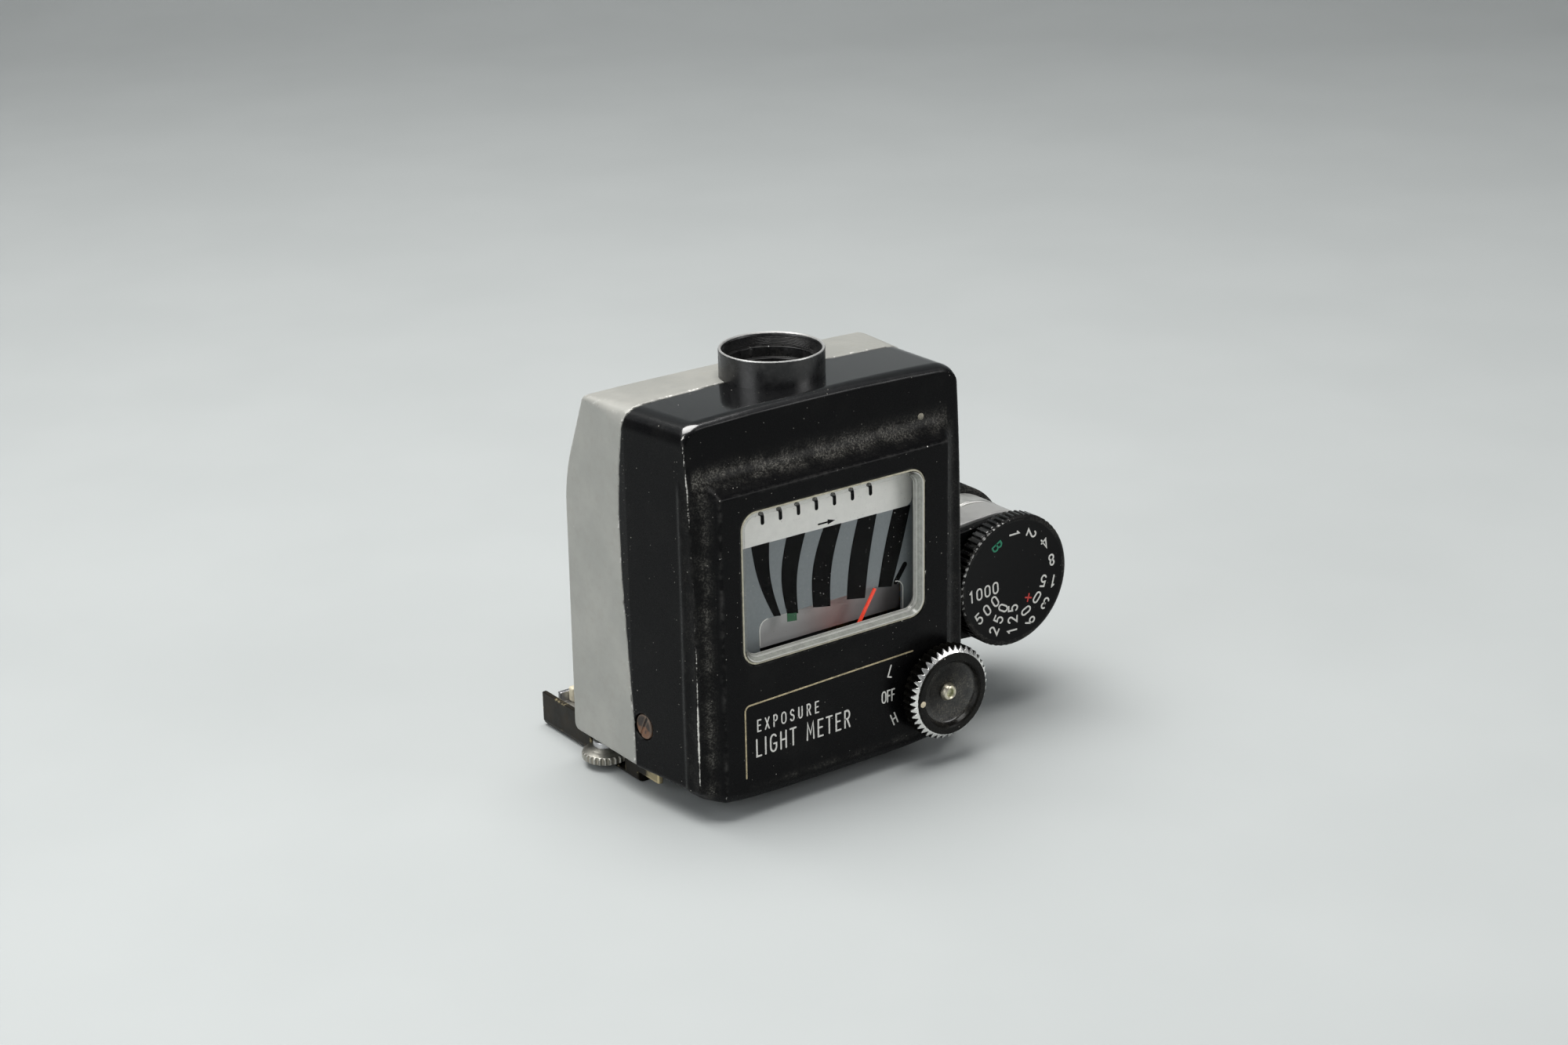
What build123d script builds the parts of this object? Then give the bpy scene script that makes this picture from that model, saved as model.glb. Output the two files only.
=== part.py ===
# Clip-on exposure meter: a hollow two-part housing that sits over a camera's
# prism, with a light cell in a tube, a needle window, a range switch, a shutter
# speed dial on a side arm and a sheet bracket that grips the eyepiece frame.
# Axes: +X toward the speed dial, +Y toward the underside (saddle), +Z toward
# the light cell.  Dimensions are laid out with the plateau face at y = 0 and the
# tube axis at x = 0; each part is saved with the origin moved to the middle of
# the footprint on the floor, z = 0.  Units are millimetres.
import os
from math import acos, atan2, cos, degrees, pi, radians, sin, sqrt, tan

from build123d import *

os.makedirs("parts", exist_ok=True)

# ---------------------------------------------------------------- dimensions
ORIGIN_X, ORIGIN_Y = 11.3, 21.0   # middle of the overall footprint

SEAM_Y = 16.0            # plane where the black cover meets the grey shell
REAR_Y = 32.8            # rearmost edge of the grey skirt
HALF_W = 25.0            # half width of the housing at the seam
FRONT_LEFT = 23.4        # the left wall draws in to here at the front face
FRONT_RIGHT = 24.95
FRONT_Y = 2.0            # border face around the plateau
Z_LOW = 2.2              # lowest point of the arched lower end
Z_LOW_CORNER = 5.2
Z_HIGH = 60.9            # highest point of the arched upper end
Z_HIGH_CORNER = 59.5
CORNER_R = 3.5
COVER_WALL = 1.0
SHELL_WALL = 1.2

PLATEAU_HALF_W = 20.0
PLATEAU_Z0, PLATEAU_Z1 = 2.0, 49.2
PLATEAU_WALL = 1.1
PLATEAU_DEPTH, PLATEAU_SLOPE = 3.0, 40.0   # side faces lean outward by this angle

WIN_X0, WIN_X1 = -16.6, 16.0
WIN_Z0, WIN_Z1 = 23.4, 46.4
WIN_R = 2.6

TUBE_Y = 15.0            # light cell axis
TUBE_R = 7.68
TUBE_TOP = 63.9
NECK_R = 6.4

DIAL_X, DIAL_Z = 37.75, 21.55
DIAL_R = 10.5
DIAL_Y0, DIAL_Y1 = 5.3, 8.0
DIAL_RIBS = 60
SHAFT_R = 1.5
BORE_R = 1.55
GEAR_Y0, GEAR_Y1 = 11.2, 12.8
MODULE = 0.5
DIAL_TEETH, IDLER_TEETH, WHEEL_TEETH = 24, 20, 40
ARM_R = 9.73
ARM_Y0, ARM_Y1 = 10.15, 15.5
COLLAR_R = 9.8
RING_R = 10.75

KNOB_X, KNOB_Z = 18.1, 11.35
KNOB_R = 7.3
KNOB_TEETH = 40

PIVOT_X, PIVOT_Z = 0.0, 14.9      # needle pivot
NEEDLE_R = 16.1
NEEDLE_ANGLE = 32.7               # resting lean toward +X, degrees

CHASSIS_Y0, CHASSIS_Y1 = 13.6, 14.6
SADDLE_Y = 22.6
BATTERY_X, BATTERY_Z, BATTERY_R = -3.5, 36.0, 7.8

WEB_T = 0.8                       # bracket sheet
FLANGE_X = 22.4                   # outer face of the bracket flanges
BRACKET_Y0, BRACKET_Y1 = 14.0, 46.0
WHEEL_X, WHEEL_Y = -22.3, 28.3    # thumb wheel axis
WHEEL_R = 3.6
WHEEL_FLUTES = 26

SCREW_Y, SCREW_Z = 13.9, 11.8     # slotted screw in the left wall


# ------------------------------------------------------------------- helpers
def ycyl(r, cx, cz, y0, y1, mode=Mode.ADD):
    with Locations(Location((cx, (y0 + y1) / 2, cz), (90, 0, 0))):
        Cylinder(r, y1 - y0, mode=mode)


def zcyl(r, cx, cy, z0, z1, mode=Mode.ADD):
    with Locations((cx, cy, (z0 + z1) / 2)):
        Cylinder(r, z1 - z0, mode=mode)


def xcyl(r, cy, cz, x0, x1, mode=Mode.ADD):
    with Locations(Location(((x0 + x1) / 2, cy, cz), (0, 90, 0))):
        Cylinder(r, x1 - x0, mode=mode)


def block(x0, x1, y0, y1, z0, z1, mode=Mode.ADD):
    with Locations(((x0 + x1) / 2, (y0 + y1) / 2, (z0 + z1) / 2)):
        Box(x1 - x0, y1 - y0, z1 - z0, mode=mode)


def face_plane(y):
    return Plane.XZ.offset(-y)


def prism(face, y0, y1):
    """Solid of an XZ face (drawn on y = y1) carried forward to y0."""
    return extrude(face, amount=y1 - y0, dir=(0, -1, 0), mode=Mode.PRIVATE)


def end_outline(d, y):
    """Housing end view, inset by d: straight sides, gently arched ends."""
    hw = HALF_W - d
    with BuildSketch(face_plane(y)) as sk:
        with BuildLine():
            Line((-hw, Z_LOW_CORNER + d), (-hw, Z_HIGH_CORNER - d))
            ThreePointArc((-hw, Z_HIGH_CORNER - d), (0, Z_HIGH - d), (hw, Z_HIGH_CORNER - d))
            Line((hw, Z_HIGH_CORNER - d), (hw, Z_LOW_CORNER + d))
            ThreePointArc((hw, Z_LOW_CORNER + d), (0, Z_LOW + d), (-hw, Z_LOW_CORNER + d))
        make_face()
        fillet(sk.vertices(), radius=CORNER_R - d)
    return sk.sketch


def side_solid(d, y_seam_pad=0.0):
    """Cover side view: the front face leans back toward the upper end."""
    with BuildSketch(Plane.YZ.offset(-40)) as sk:
        with BuildLine():
            Line((SEAM_Y + y_seam_pad, 0), (FRONT_Y + d, 0))
            Line((FRONT_Y + d, 0), (FRONT_Y + d, 20))
            Spline((FRONT_Y + d, 20), (FRONT_Y + d + 0.55, 42), (FRONT_Y + d + 1.35, 58.6 - d),
                   tangents=[(0, 1), (0.08, 1)])
            Line((FRONT_Y + d + 1.35, 58.6 - d), (FRONT_Y + d + 2.9, 60.35 - d))
            Line((FRONT_Y + d + 2.9, 60.35 - d), (SEAM_Y + y_seam_pad, 59.95 - d))
            Line((SEAM_Y + y_seam_pad, 59.95 - d), (SEAM_Y + y_seam_pad, 0))
        make_face()
    return extrude(sk.sketch, amount=80, mode=Mode.PRIVATE)


def plan_solid(d, y_seam_pad=0.0):
    """Cover plan view: the side walls draw in toward the front."""
    hw, left, right = HALF_W - d, FRONT_LEFT - d, FRONT_RIGHT - d
    back = SEAM_Y + y_seam_pad
    with BuildSketch(Plane.XY.offset(-5)) as sk:
        with BuildLine():
            Polyline((-hw, back), (-left + 0.05, FRONT_Y + d + 0.55), (-left + 0.7, FRONT_Y + d - 0.1),
                     (right - 0.9, FRONT_Y + d - 0.1), (right - 0.05, FRONT_Y + d + 0.75),
                     (hw, back), close=True)
        make_face()
    return extrude(sk.sketch, amount=80, mode=Mode.PRIVATE)


def cover_solid(d, pad=0.0):
    return prism(end_outline(d, SEAM_Y + pad), -1, SEAM_Y + pad) & side_solid(d, pad) & plan_solid(d, pad)


def shell_profile_solid(d, y_start):
    """Shell side view: level skirt that slants forward at the upper end."""
    with BuildSketch(Plane.YZ.offset(-40)) as sk:
        with BuildLine():
            Line((y_start, 0), (y_start, 59.95 - d))
            Line((y_start, 59.95 - d), (25.7 - 0.66 * d, 59.2 - d))
            Line((25.7 - 0.66 * d, 59.2 - d), (27.15 - 0.8 * d, 57.7 - 0.8 * d))
            Line((27.15 - 0.8 * d, 57.7 - 0.8 * d), (31.7 - 1.08 * d, 46.9))
            Spline((31.7 - 1.08 * d, 46.9), (32.5 - d, 43.0), (32.6 - d, 36.0),
                   tangents=[(0.39, -0.92), (0.02, -1)])
            Line((32.6 - d, 36.0), (REAR_Y - d, 22.0))
            Line((REAR_Y - d, 22.0), (REAR_Y - d, 0))
            Line((REAR_Y - d, 0), (y_start, 0))
        make_face()
    return extrude(sk.sketch, amount=80, mode=Mode.PRIVATE)


def shell_solid(d, y_start):
    return prism(end_outline(d, 40), y_start, 40) & shell_profile_solid(d, y_start)


def rounded_rect(x0, x1, z0, z1, r, y):
    with BuildSketch(face_plane(y)) as sk:
        with Locations(((x0 + x1) / 2, (z0 + z1) / 2)):
            RectangleRounded(x1 - x0, z1 - z0, r)
    return sk.sketch


def window_outline(inset, r, y):
    """The front window's rounded outline, drawn in by inset."""
    return rounded_rect(WIN_X0 + inset, WIN_X1 - inset, WIN_Z0 + inset, WIN_Z1 - inset, r, y)


def arm_outline(root_half, end_r, root_x, y):
    """Tapered arm with a round end on the speed dial axis."""
    dx = DIAL_X - root_x
    gap = degrees(atan2(root_half, dx)) + degrees(acos(end_r / sqrt(dx * dx + root_half**2)))
    a = radians(180 - gap)
    tx, tz = end_r * cos(a), end_r * sin(a)
    with BuildSketch(face_plane(y)) as sk:
        with BuildLine():
            Line((root_x, DIAL_Z - root_half), (root_x, DIAL_Z + root_half))
            Line((root_x, DIAL_Z + root_half), (DIAL_X + tx, DIAL_Z + tz))
            ThreePointArc((DIAL_X + tx, DIAL_Z + tz), (DIAL_X + end_r, DIAL_Z), (DIAL_X + tx, DIAL_Z - tz))
            Line((DIAL_X + tx, DIAL_Z - tz), (root_x, DIAL_Z - root_half))
        make_face()
    return sk.sketch


def serrated_face(cx, cz, r, depth, count, phase, y, duty=0.5):
    """Round face whose rim carries evenly spaced ribs."""
    pts = []
    step = 2 * pi / count
    for i in range(count):
        a = radians(phase) + i * step
        for f, rr in ((-0.5 * duty, r), (0.5 * duty, r),
                      (0.5 * duty + 0.14, r - depth), (0.86 - 0.5 * duty, r - depth)):
            b = a + f * step
            pts.append((cx + rr * cos(b), cz + rr * sin(b)))
    with BuildSketch(face_plane(y)) as sk:
        with BuildLine():
            Polyline(*pts, close=True)
        make_face()
    return sk.sketch


def gear_face(cx, cz, teeth, aim_deg, gap_at_aim, y, play=0.09):
    """Spur gear face; a tooth (or a gap) is centred on the aim direction."""
    rp = MODULE * teeth / 2
    pa = radians(20)
    rb = rp * cos(pa)
    ra, rf = rp + 0.46, rp - 0.62
    inv = tan(pa) - pa
    half = pi / (2 * teeth) + inv - play / (2 * rp)
    pitch = 2 * pi / teeth
    start = radians(aim_deg) + (pitch / 2 if gap_at_aim else 0)
    flank = []
    for k in range(5):
        r = max(rb, rf + 0.02) + (ra - max(rb, rf + 0.02)) * k / 4
        al = acos(min(1.0, rb / r))
        flank.append((r, half - (tan(al) - al)))
    pts = []
    for i in range(teeth):
        c = start + i * pitch
        row = [(rf, -(flank[0][1] + 0.012))] + [(r, -w) for r, w in flank]
        row += [(r, w) for r, w in reversed(flank)] + [(rf, flank[0][1] + 0.012)]
        pts += [(cx + r * cos(c + w), cz + r * sin(c + w)) for r, w in row]
    with BuildSketch(face_plane(y)) as sk:
        with BuildLine():
            Polyline(*pts, close=True)
        make_face()
    return sk.sketch


def spiral_face(cx, cz, r0, r1, turns, width, y):
    n = int(turns * 24)
    outer, inner = [], []
    for i in range(n + 1):
        a = 2 * pi * turns * i / n
        r = r0 + (r1 - r0) * i / n
        outer.append((cx + (r + width) * cos(a), cz + (r + width) * sin(a)))
        inner.append((cx + r * cos(a), cz + r * sin(a)))
    with BuildSketch(face_plane(y)) as sk:
        with BuildLine():
            Polyline(*(outer + inner[::-1]), close=True)
        make_face()
    return sk.sketch


def save(builder, name):
    moved = Pos(-ORIGIN_X, -ORIGIN_Y, 0) * builder.part
    moved.label = name
    export_step(moved, "parts/" + name + ".step")


def on_needle(r, side=0.0):
    a = radians(90 - NEEDLE_ANGLE)
    return (PIVOT_X + r * cos(a) - side * sin(a), PIVOT_Z + r * sin(a) + side * cos(a))


IDLER_X = DIAL_X + MODULE * (DIAL_TEETH + IDLER_TEETH) / 2 * cos(radians(172))
IDLER_Z = DIAL_Z + MODULE * (DIAL_TEETH + IDLER_TEETH) / 2 * sin(radians(172))
SWHEEL_X = IDLER_X + MODULE * (IDLER_TEETH + WHEEL_TEETH) / 2 * cos(radians(160))
SWHEEL_Z = IDLER_Z + MODULE * (IDLER_TEETH + WHEEL_TEETH) / 2 * sin(radians(160))

PLATE_POSTS = [(-17.3, 43.0), (17.3, 43.0), (-17.0, 18.5), (12.4, 16.2)]
CHASSIS_BOSSES = [(-20.4, 19.0), (20.4, 9.6), (-20.4, 46.0), (20.4, 39.5)]

# ------------------------------------------------------------ housing: cover
cover_outer = cover_solid(0)
shell_outer = shell_solid(0, SEAM_Y)

spread = PLATEAU_DEPTH * tan(radians(PLATEAU_SLOPE))
with BuildPart() as plateau_form:
    with BuildSketch(face_plane(PLATEAU_DEPTH)):
        with Locations((0, (PLATEAU_Z0 + PLATEAU_Z1) / 2)):
            RectangleRounded(2 * (PLATEAU_HALF_W + spread), PLATEAU_Z1 - PLATEAU_Z0 + 2 * spread,
                             spread + 0.7)
    extrude(amount=PLATEAU_DEPTH, taper=PLATEAU_SLOPE)
    fillet(plateau_form.faces().sort_by(Axis.Y)[0].edges(), radius=0.3)
with BuildPart() as plateau_limit:
    block(-25.0, 25.0, -1.0, 4.0, PLATEAU_Z0 - 0.1, 20.0)
    add(prism(end_outline(0, 4), -1, 4))
plateau = plateau_form.part & plateau_limit.part

with BuildPart() as top_cover:
    add(cover_outer)
    add(plateau)
    add(prism(arm_outline(10.6, 9.45, 22.6, 10.1), 8.6, 10.1))
    boss_rim = top_cover.edges().filter_by(lambda e: e.center().X > 27 and abs(e.center().Y - 8.6) < 0.05)
    fillet(boss_rim, radius=0.7)
    add(cover_solid(COVER_WALL, 1.0) & prism(end_outline(COVER_WALL, 18), 3.6, 18), mode=Mode.SUBTRACT)
    add(prism(rounded_rect(-18.7, 18.7, 6.4, 48.0, 1.5, 5.0), PLATEAU_WALL, 5.0), mode=Mode.SUBTRACT)
    add(prism(rounded_rect(WIN_X0, WIN_X1, WIN_Z0, WIN_Z1, WIN_R, 3), -1, 3), mode=Mode.SUBTRACT)
    ycyl(2.55, KNOB_X, KNOB_Z, -1, 4, Mode.SUBTRACT)
    ycyl(BORE_R, DIAL_X, DIAL_Z, 8, 11, Mode.SUBTRACT)
    zcyl(NECK_R + 0.05, 0, TUBE_Y, 50, 70, Mode.SUBTRACT)
    block(23.0, 26.0, 10.1, 17.0, DIAL_Z - 10.4, DIAL_Z + 10.4, Mode.SUBTRACT)
    for sx, sz in ((-1, SCREW_Z), (1, 45.0)):
        xcyl(2.0, SCREW_Y, sz, min(sx * 24.1, sx * 27), max(sx * 24.1, sx * 27), Mode.SUBTRACT)
        xcyl(1.0, SCREW_Y, sz, min(sx * 22, sx * 27), max(sx * 22, sx * 27), Mode.SUBTRACT)
save(top_cover, "top_cover")

# ------------------------------------------------------------ housing: shell
with BuildPart() as body_shell:
    add(shell_outer)
    add(shell_solid(SHELL_WALL, SEAM_Y - 1) , mode=Mode.SUBTRACT)
    block(-23.8, 23.8, 27.0, 40.0, 7.5, 50.0, Mode.SUBTRACT)
    block(-19.6, 19.6, 23.2, 40.0, -1.0, 9.0, Mode.SUBTRACT)
    block(-23.8, 23.8, 30.0, 40.0, 8.0, 53.0, Mode.SUBTRACT)
    for bx, bz in CHASSIS_BOSSES:
        s = 1 if bx > 0 else -1
        block(min(s * 18.6, s * 24.2), max(s * 18.6, s * 24.2), 16.4, 20.8, bz - 1.9, bz + 1.9)
        ycyl(1.8, bx, bz, CHASSIS_Y1, 16.6)
        ycyl(0.8, bx, bz, CHASSIS_Y1 - 1, 19.6, Mode.SUBTRACT)
    zcyl(NECK_R + 0.05, 0, TUBE_Y, 50, 70, Mode.SUBTRACT)
    zcyl(1.05, WHEEL_X, WHEEL_Y, 0, 9, Mode.SUBTRACT)
    for sx in (-1, 1):
        zcyl(1.6, sx * 11.0, 19.2, Z_LOW + 1.3, 12.0)
        zcyl(0.85, sx * 11.0, 19.2, 0, 10.5, Mode.SUBTRACT)
save(body_shell, "body_shell")

# ------------------------------------------------ saddle plate on the underside
with BuildPart() as saddle_plate:
    with BuildSketch(Plane.XY.offset(6.6)):
        with BuildLine():
            Polyline((-23.6, 30.2), (-19.6, 30.2), (-12.0, SADDLE_Y - 1), (12.0, SADDLE_Y - 1),
                     (19.6, 30.2), (23.6, 30.2), (23.6, 31.2), (18.9, 31.2), (11.4, SADDLE_Y),
                     (-11.4, SADDLE_Y), (-18.9, 31.2), (-23.6, 31.2), close=True)
        make_face()
    extrude(amount=49.0)
    add(shell_solid(SHELL_WALL + 0.05, SEAM_Y), mode=Mode.INTERSECT)
    ycyl(8.25, BATTERY_X, BATTERY_Z, 18, 26, Mode.SUBTRACT)
save(saddle_plate, "saddle_plate")

with BuildPart() as saddle_pads:
    for z0 in (9.0, 49.0):
        block(-9.5, 9.5, SADDLE_Y, SADDLE_Y + 0.8, z0, z0 + 3.0)
save(saddle_pads, "saddle_pads")

# --------------------------------------------------------- window and scales
with BuildPart() as window_gasket:
    add(prism(window_outline(0.03, WIN_R, 2.2), -0.05, 2.2))
    add(prism(window_outline(0.45, WIN_R - 0.4, 3), -1, 3),
        mode=Mode.SUBTRACT)
save(window_gasket, "window_gasket")

with BuildPart() as window_pane:
    add(prism(window_outline(0.48, WIN_R - 0.4, 2.2), -0.3, 2.2))
    chamfer(window_pane.faces().sort_by(Axis.Y)[0].edges(), length=0.35)
    add(prism(rounded_rect(WIN_X0 + 1.6, WIN_X1 - 1.6, WIN_Z0 + 1.6, WIN_Z1 - 1.6, 1.4, 3), 0.8, 3),
        mode=Mode.SUBTRACT)
save(window_pane, "window_pane")

with BuildPart() as scale_plate:
    add(prism(rounded_rect(-18.4, 18.4, 14.8, 47.8, 1.2, 3.8), 3.2, 3.8))
    add(prism(rounded_rect(-11.5, 14.4, 17.6, 28.3, 1.4, 5), 2, 5), mode=Mode.SUBTRACT)
    for px, pz in PLATE_POSTS:
        ycyl(0.75, px, pz, 3, 4, Mode.SUBTRACT)
save(scale_plate, "scale_plate")

with BuildPart() as plate_screws:
    for px, pz in PLATE_POSTS:
        ycyl(1.0, px, pz, 2.6, 3.2)
        block(px - 1.0, px + 1.0, 2.5, 2.8, pz - 0.12, pz + 0.12, Mode.SUBTRACT)
        ycyl(0.72, px, pz, 3.2, 6.0)
save(plate_screws, "plate_screws")

with BuildPart() as plate_posts:
    for px, pz in PLATE_POSTS:
        ycyl(1.1, px, pz, 3.8, CHASSIS_Y0)
        ycyl(0.72, px, pz, 3.0, 6.0, Mode.SUBTRACT)
    for z in (24.6, 39.0):
        ycyl(1.0, -17.4, z, 9.2, CHASSIS_Y0)
save(plate_posts, "plate_posts")

with BuildPart() as baffle:
    add(prism(rounded_rect(-12.7, 15.6, 22.9, 30.4, 0.8, 6.0), 5.5, 6.0))
    for bx in (-12.0, 15.0):
        ycyl(0.6, bx, 29.6, 3.8, 5.6)
save(baffle, "baffle")

# ------------------------------------------------------------ meter movement
with BuildPart() as movement_magnet:
    ycyl(7.3, PIVOT_X, PIVOT_Z, 5.6, 12.6)
    ycyl(5.6, PIVOT_X, PIVOT_Z, 5, 13, Mode.SUBTRACT)
save(movement_magnet, "movement_magnet")

with BuildPart() as movement_core:
    ycyl(3.9, PIVOT_X, PIVOT_Z, 6.1, 12.1)
    block(PIVOT_X - 0.8, PIVOT_X + 0.8, 8.2, 10.2, PIVOT_Z - 5.54, PIVOT_Z + 5.54)
save(movement_core, "movement_core")

with BuildPart() as movement_bridge:
    block(PIVOT_X - 8.6, PIVOT_X + 8.6, 4.0, 4.6, PIVOT_Z - 1.5, PIVOT_Z + 1.5)
    for s in (-1, 1):
        block(min(s * 7.4, s * 8.6), max(s * 7.4, s * 8.6), 4.0, CHASSIS_Y0, PIVOT_Z - 1.5, PIVOT_Z + 1.5)
    ycyl(1.0, PIVOT_X, PIVOT_Z, 3, 6, Mode.SUBTRACT)
save(movement_bridge, "movement_bridge")

with BuildPart() as jewel_screws:
    ycyl(1.0, PIVOT_X, PIVOT_Z, 3.86, 4.75)
    ycyl(0.3, PIVOT_X, PIVOT_Z, 4.3, 5.0, Mode.SUBTRACT)
    ycyl(1.0, PIVOT_X, PIVOT_Z, 13.2, 14.9)
    ycyl(0.3, PIVOT_X, PIVOT_Z, 13.0, 13.7, Mode.SUBTRACT)
save(jewel_screws, "jewel_screws")

with BuildPart() as moving_coil:
    with Locations(Location((PIVOT_X, 9.1, PIVOT_Z), (0, NEEDLE_ANGLE, 0))):
        Box(9.7, 7.4, 2.2)
        Box(8.5, 6.4, 3.0, mode=Mode.SUBTRACT)
    ycyl(0.25, PIVOT_X, PIVOT_Z, 4.4, 5.4)
    ycyl(0.25, PIVOT_X, PIVOT_Z, 12.8, 13.55)
save(moving_coil, "moving_coil")

with BuildPart() as hairspring:
    add(prism(spiral_face(PIVOT_X, PIVOT_Z, 0.26, 2.1, 4.0, 0.14, 13.1), 12.9, 13.1))
save(hairspring, "hairspring")

with BuildPart() as needle:
    ycyl(0.8, PIVOT_X, PIVOT_Z, 4.9, 5.2)
    with BuildSketch(face_plane(5.2)):
        with BuildLine():
            Polyline(on_needle(0, -0.3), on_needle(8.6, -0.25),
                     on_needle(8.6, 0.25), on_needle(0, 0.3), close=True)
        make_face()
    extrude(amount=0.3)
    with BuildSketch(face_plane(5.2)):
        with BuildLine():
            Polyline(on_needle(8.2, -0.25), on_needle(8.6, -0.25), on_needle(8.6, 0.25), on_needle(8.2, 0.25),
                     close=True)
        make_face()
    extrude(amount=2.8)
    with BuildSketch(face_plane(2.65)):
        with BuildLine():
            Polyline(on_needle(8.2, -0.25), on_needle(NEEDLE_R, -0.22), on_needle(NEEDLE_R, 0.22),
                     on_needle(8.2, 0.25), close=True)
        make_face()
    extrude(amount=0.25)
    with BuildSketch(face_plane(5.2)):
        with BuildLine():
            Polyline(on_needle(0, -0.35), on_needle(-4.2, -0.7),
                     on_needle(-4.2, 0.7), on_needle(0, 0.35), close=True)
        make_face()
    extrude(amount=0.3)
    ycyl(0.25, PIVOT_X, PIVOT_Z, 4, 6, Mode.SUBTRACT)
save(needle, "needle")

# ------------------------------------------------------------------- chassis
with BuildPart() as chassis_plate:
    add(prism(rounded_rect(-22.6, 22.6, 7.0, 49.6, 1.5, CHASSIS_Y1), CHASSIS_Y0, CHASSIS_Y1))
    for sx, sz in ((-1, SCREW_Z), (1, 45.0)):
        block(min(sx * 20.4, sx * 23.55), max(sx * 20.4, sx * 23.55), 12.3, 15.5, sz - 1.7, sz + 1.7)
        xcyl(0.95, SCREW_Y, sz, min(sx * 19, sx * 25), max(sx * 19, sx * 25), Mode.SUBTRACT)
    ycyl(1.0, PIVOT_X, PIVOT_Z, 13, 15, Mode.SUBTRACT)
    ycyl(1.2, SWHEEL_X, SWHEEL_Z, 13, 15, Mode.SUBTRACT)
    for bx, bz in CHASSIS_BOSSES:
        ycyl(0.85, bx, bz, 13, 15, Mode.SUBTRACT)
    ycyl(0.8, 20.6, 27.0, 13, 15, Mode.SUBTRACT)
    ycyl(0.8, 20.6, 16.0, 13, 15, Mode.SUBTRACT)
save(chassis_plate, "chassis_plate")

with BuildPart() as chassis_screws:
    for bx, bz in CHASSIS_BOSSES:
        ycyl(1.5, bx, bz, 12.9, CHASSIS_Y0)
        block(bx - 1.6, bx + 1.6, 12.8, 13.15, bz - 0.2, bz + 0.2, Mode.SUBTRACT)
        ycyl(0.8, bx, bz, CHASSIS_Y0, 19.4)
    for z in (27.0, 16.0):
        ycyl(1.4, 20.6, z, ARM_Y1, ARM_Y1 + 0.9)
        block(19.0, 22.2, ARM_Y1 + 0.6, ARM_Y1 + 1.0, z - 0.2, z + 0.2, Mode.SUBTRACT)
        ycyl(0.8, 20.6, z, CHASSIS_Y0, ARM_Y1)
save(chassis_screws, "chassis_screws")

with BuildPart() as side_screws:
    for sx, sz in ((-1, SCREW_Z), (1, 45.0)):
        xcyl(1.9, SCREW_Y, sz, min(sx * 24.1, sx * 24.72), max(sx * 24.1, sx * 24.72))
        block(min(sx * 24.4, sx * 25), max(sx * 24.4, sx * 25),
              SCREW_Y - 2, SCREW_Y + 2, sz - 0.25, sz + 0.25,
              Mode.SUBTRACT)
        xcyl(0.95, SCREW_Y, sz, min(sx * 20.6, sx * 24.1), max(sx * 20.6, sx * 24.1))
save(side_screws, "side_screws")

# ------------------------------------------------------------ arm and gearing
with BuildPart() as dial_arm:
    add(prism(arm_outline(10.35, ARM_R, 24.0, ARM_Y1), ARM_Y0, ARM_Y1))
    add(prism(arm_outline(9.1, ARM_R - 1.25, 22.0, CHASSIS_Y1), ARM_Y0 - 1, CHASSIS_Y1), mode=Mode.SUBTRACT)
    block(18.7, 26.0, CHASSIS_Y1, ARM_Y1, DIAL_Z - 8.0, DIAL_Z + 8.0)
    block(23.7, 25.2, ARM_Y0 - 0.1, CHASSIS_Y1, DIAL_Z - 9.0, DIAL_Z + 9.0, Mode.SUBTRACT)
    ycyl(BORE_R, DIAL_X, DIAL_Z, 9, 17, Mode.SUBTRACT)
    ycyl(1.0, IDLER_X, IDLER_Z, CHASSIS_Y1 - 0.5, 15.2, Mode.SUBTRACT)
    for z in (27.0, 16.0):
        ycyl(0.8, 20.6, z, 14, 17, Mode.SUBTRACT)
save(dial_arm, "dial_arm")

with BuildPart() as speed_dial:
    ribbed = serrated_face(DIAL_X, DIAL_Z, DIAL_R, 0.32, DIAL_RIBS, 0, DIAL_Y1, 0.42)
    add(prism(ribbed, DIAL_Y0 + 0.3, DIAL_Y1))
    ycyl(DIAL_R - 0.35, DIAL_X, DIAL_Z, DIAL_Y0, DIAL_Y0 + 0.4)
    ycyl(3.4, DIAL_X, DIAL_Z, DIAL_Y1, 8.5)
    ycyl(9.2, DIAL_X, DIAL_Z, DIAL_Y1 - 1.0, DIAL_Y1, Mode.SUBTRACT)
    ycyl(3.4, DIAL_X, DIAL_Z, DIAL_Y1 - 1.1, DIAL_Y1 + 0.5)
    ycyl(SHAFT_R, DIAL_X, DIAL_Z, 6.4, 9, Mode.SUBTRACT)
save(speed_dial, "speed_dial")

with BuildPart() as dial_shaft:
    ycyl(SHAFT_R, DIAL_X, DIAL_Z, 6.4, 20.1)
    ycyl(0.7, DIAL_X, DIAL_Z, 17.5, 21, Mode.SUBTRACT)
save(dial_shaft, "dial_shaft")

with BuildPart() as dial_gear:
    add(prism(gear_face(DIAL_X, DIAL_Z, DIAL_TEETH, 172, False, GEAR_Y1), GEAR_Y0, GEAR_Y1))
    ycyl(2.6, DIAL_X, DIAL_Z, GEAR_Y1, 14.4)
    ycyl(SHAFT_R, DIAL_X, DIAL_Z, 10, 15, Mode.SUBTRACT)
save(dial_gear, "dial_gear")

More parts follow.
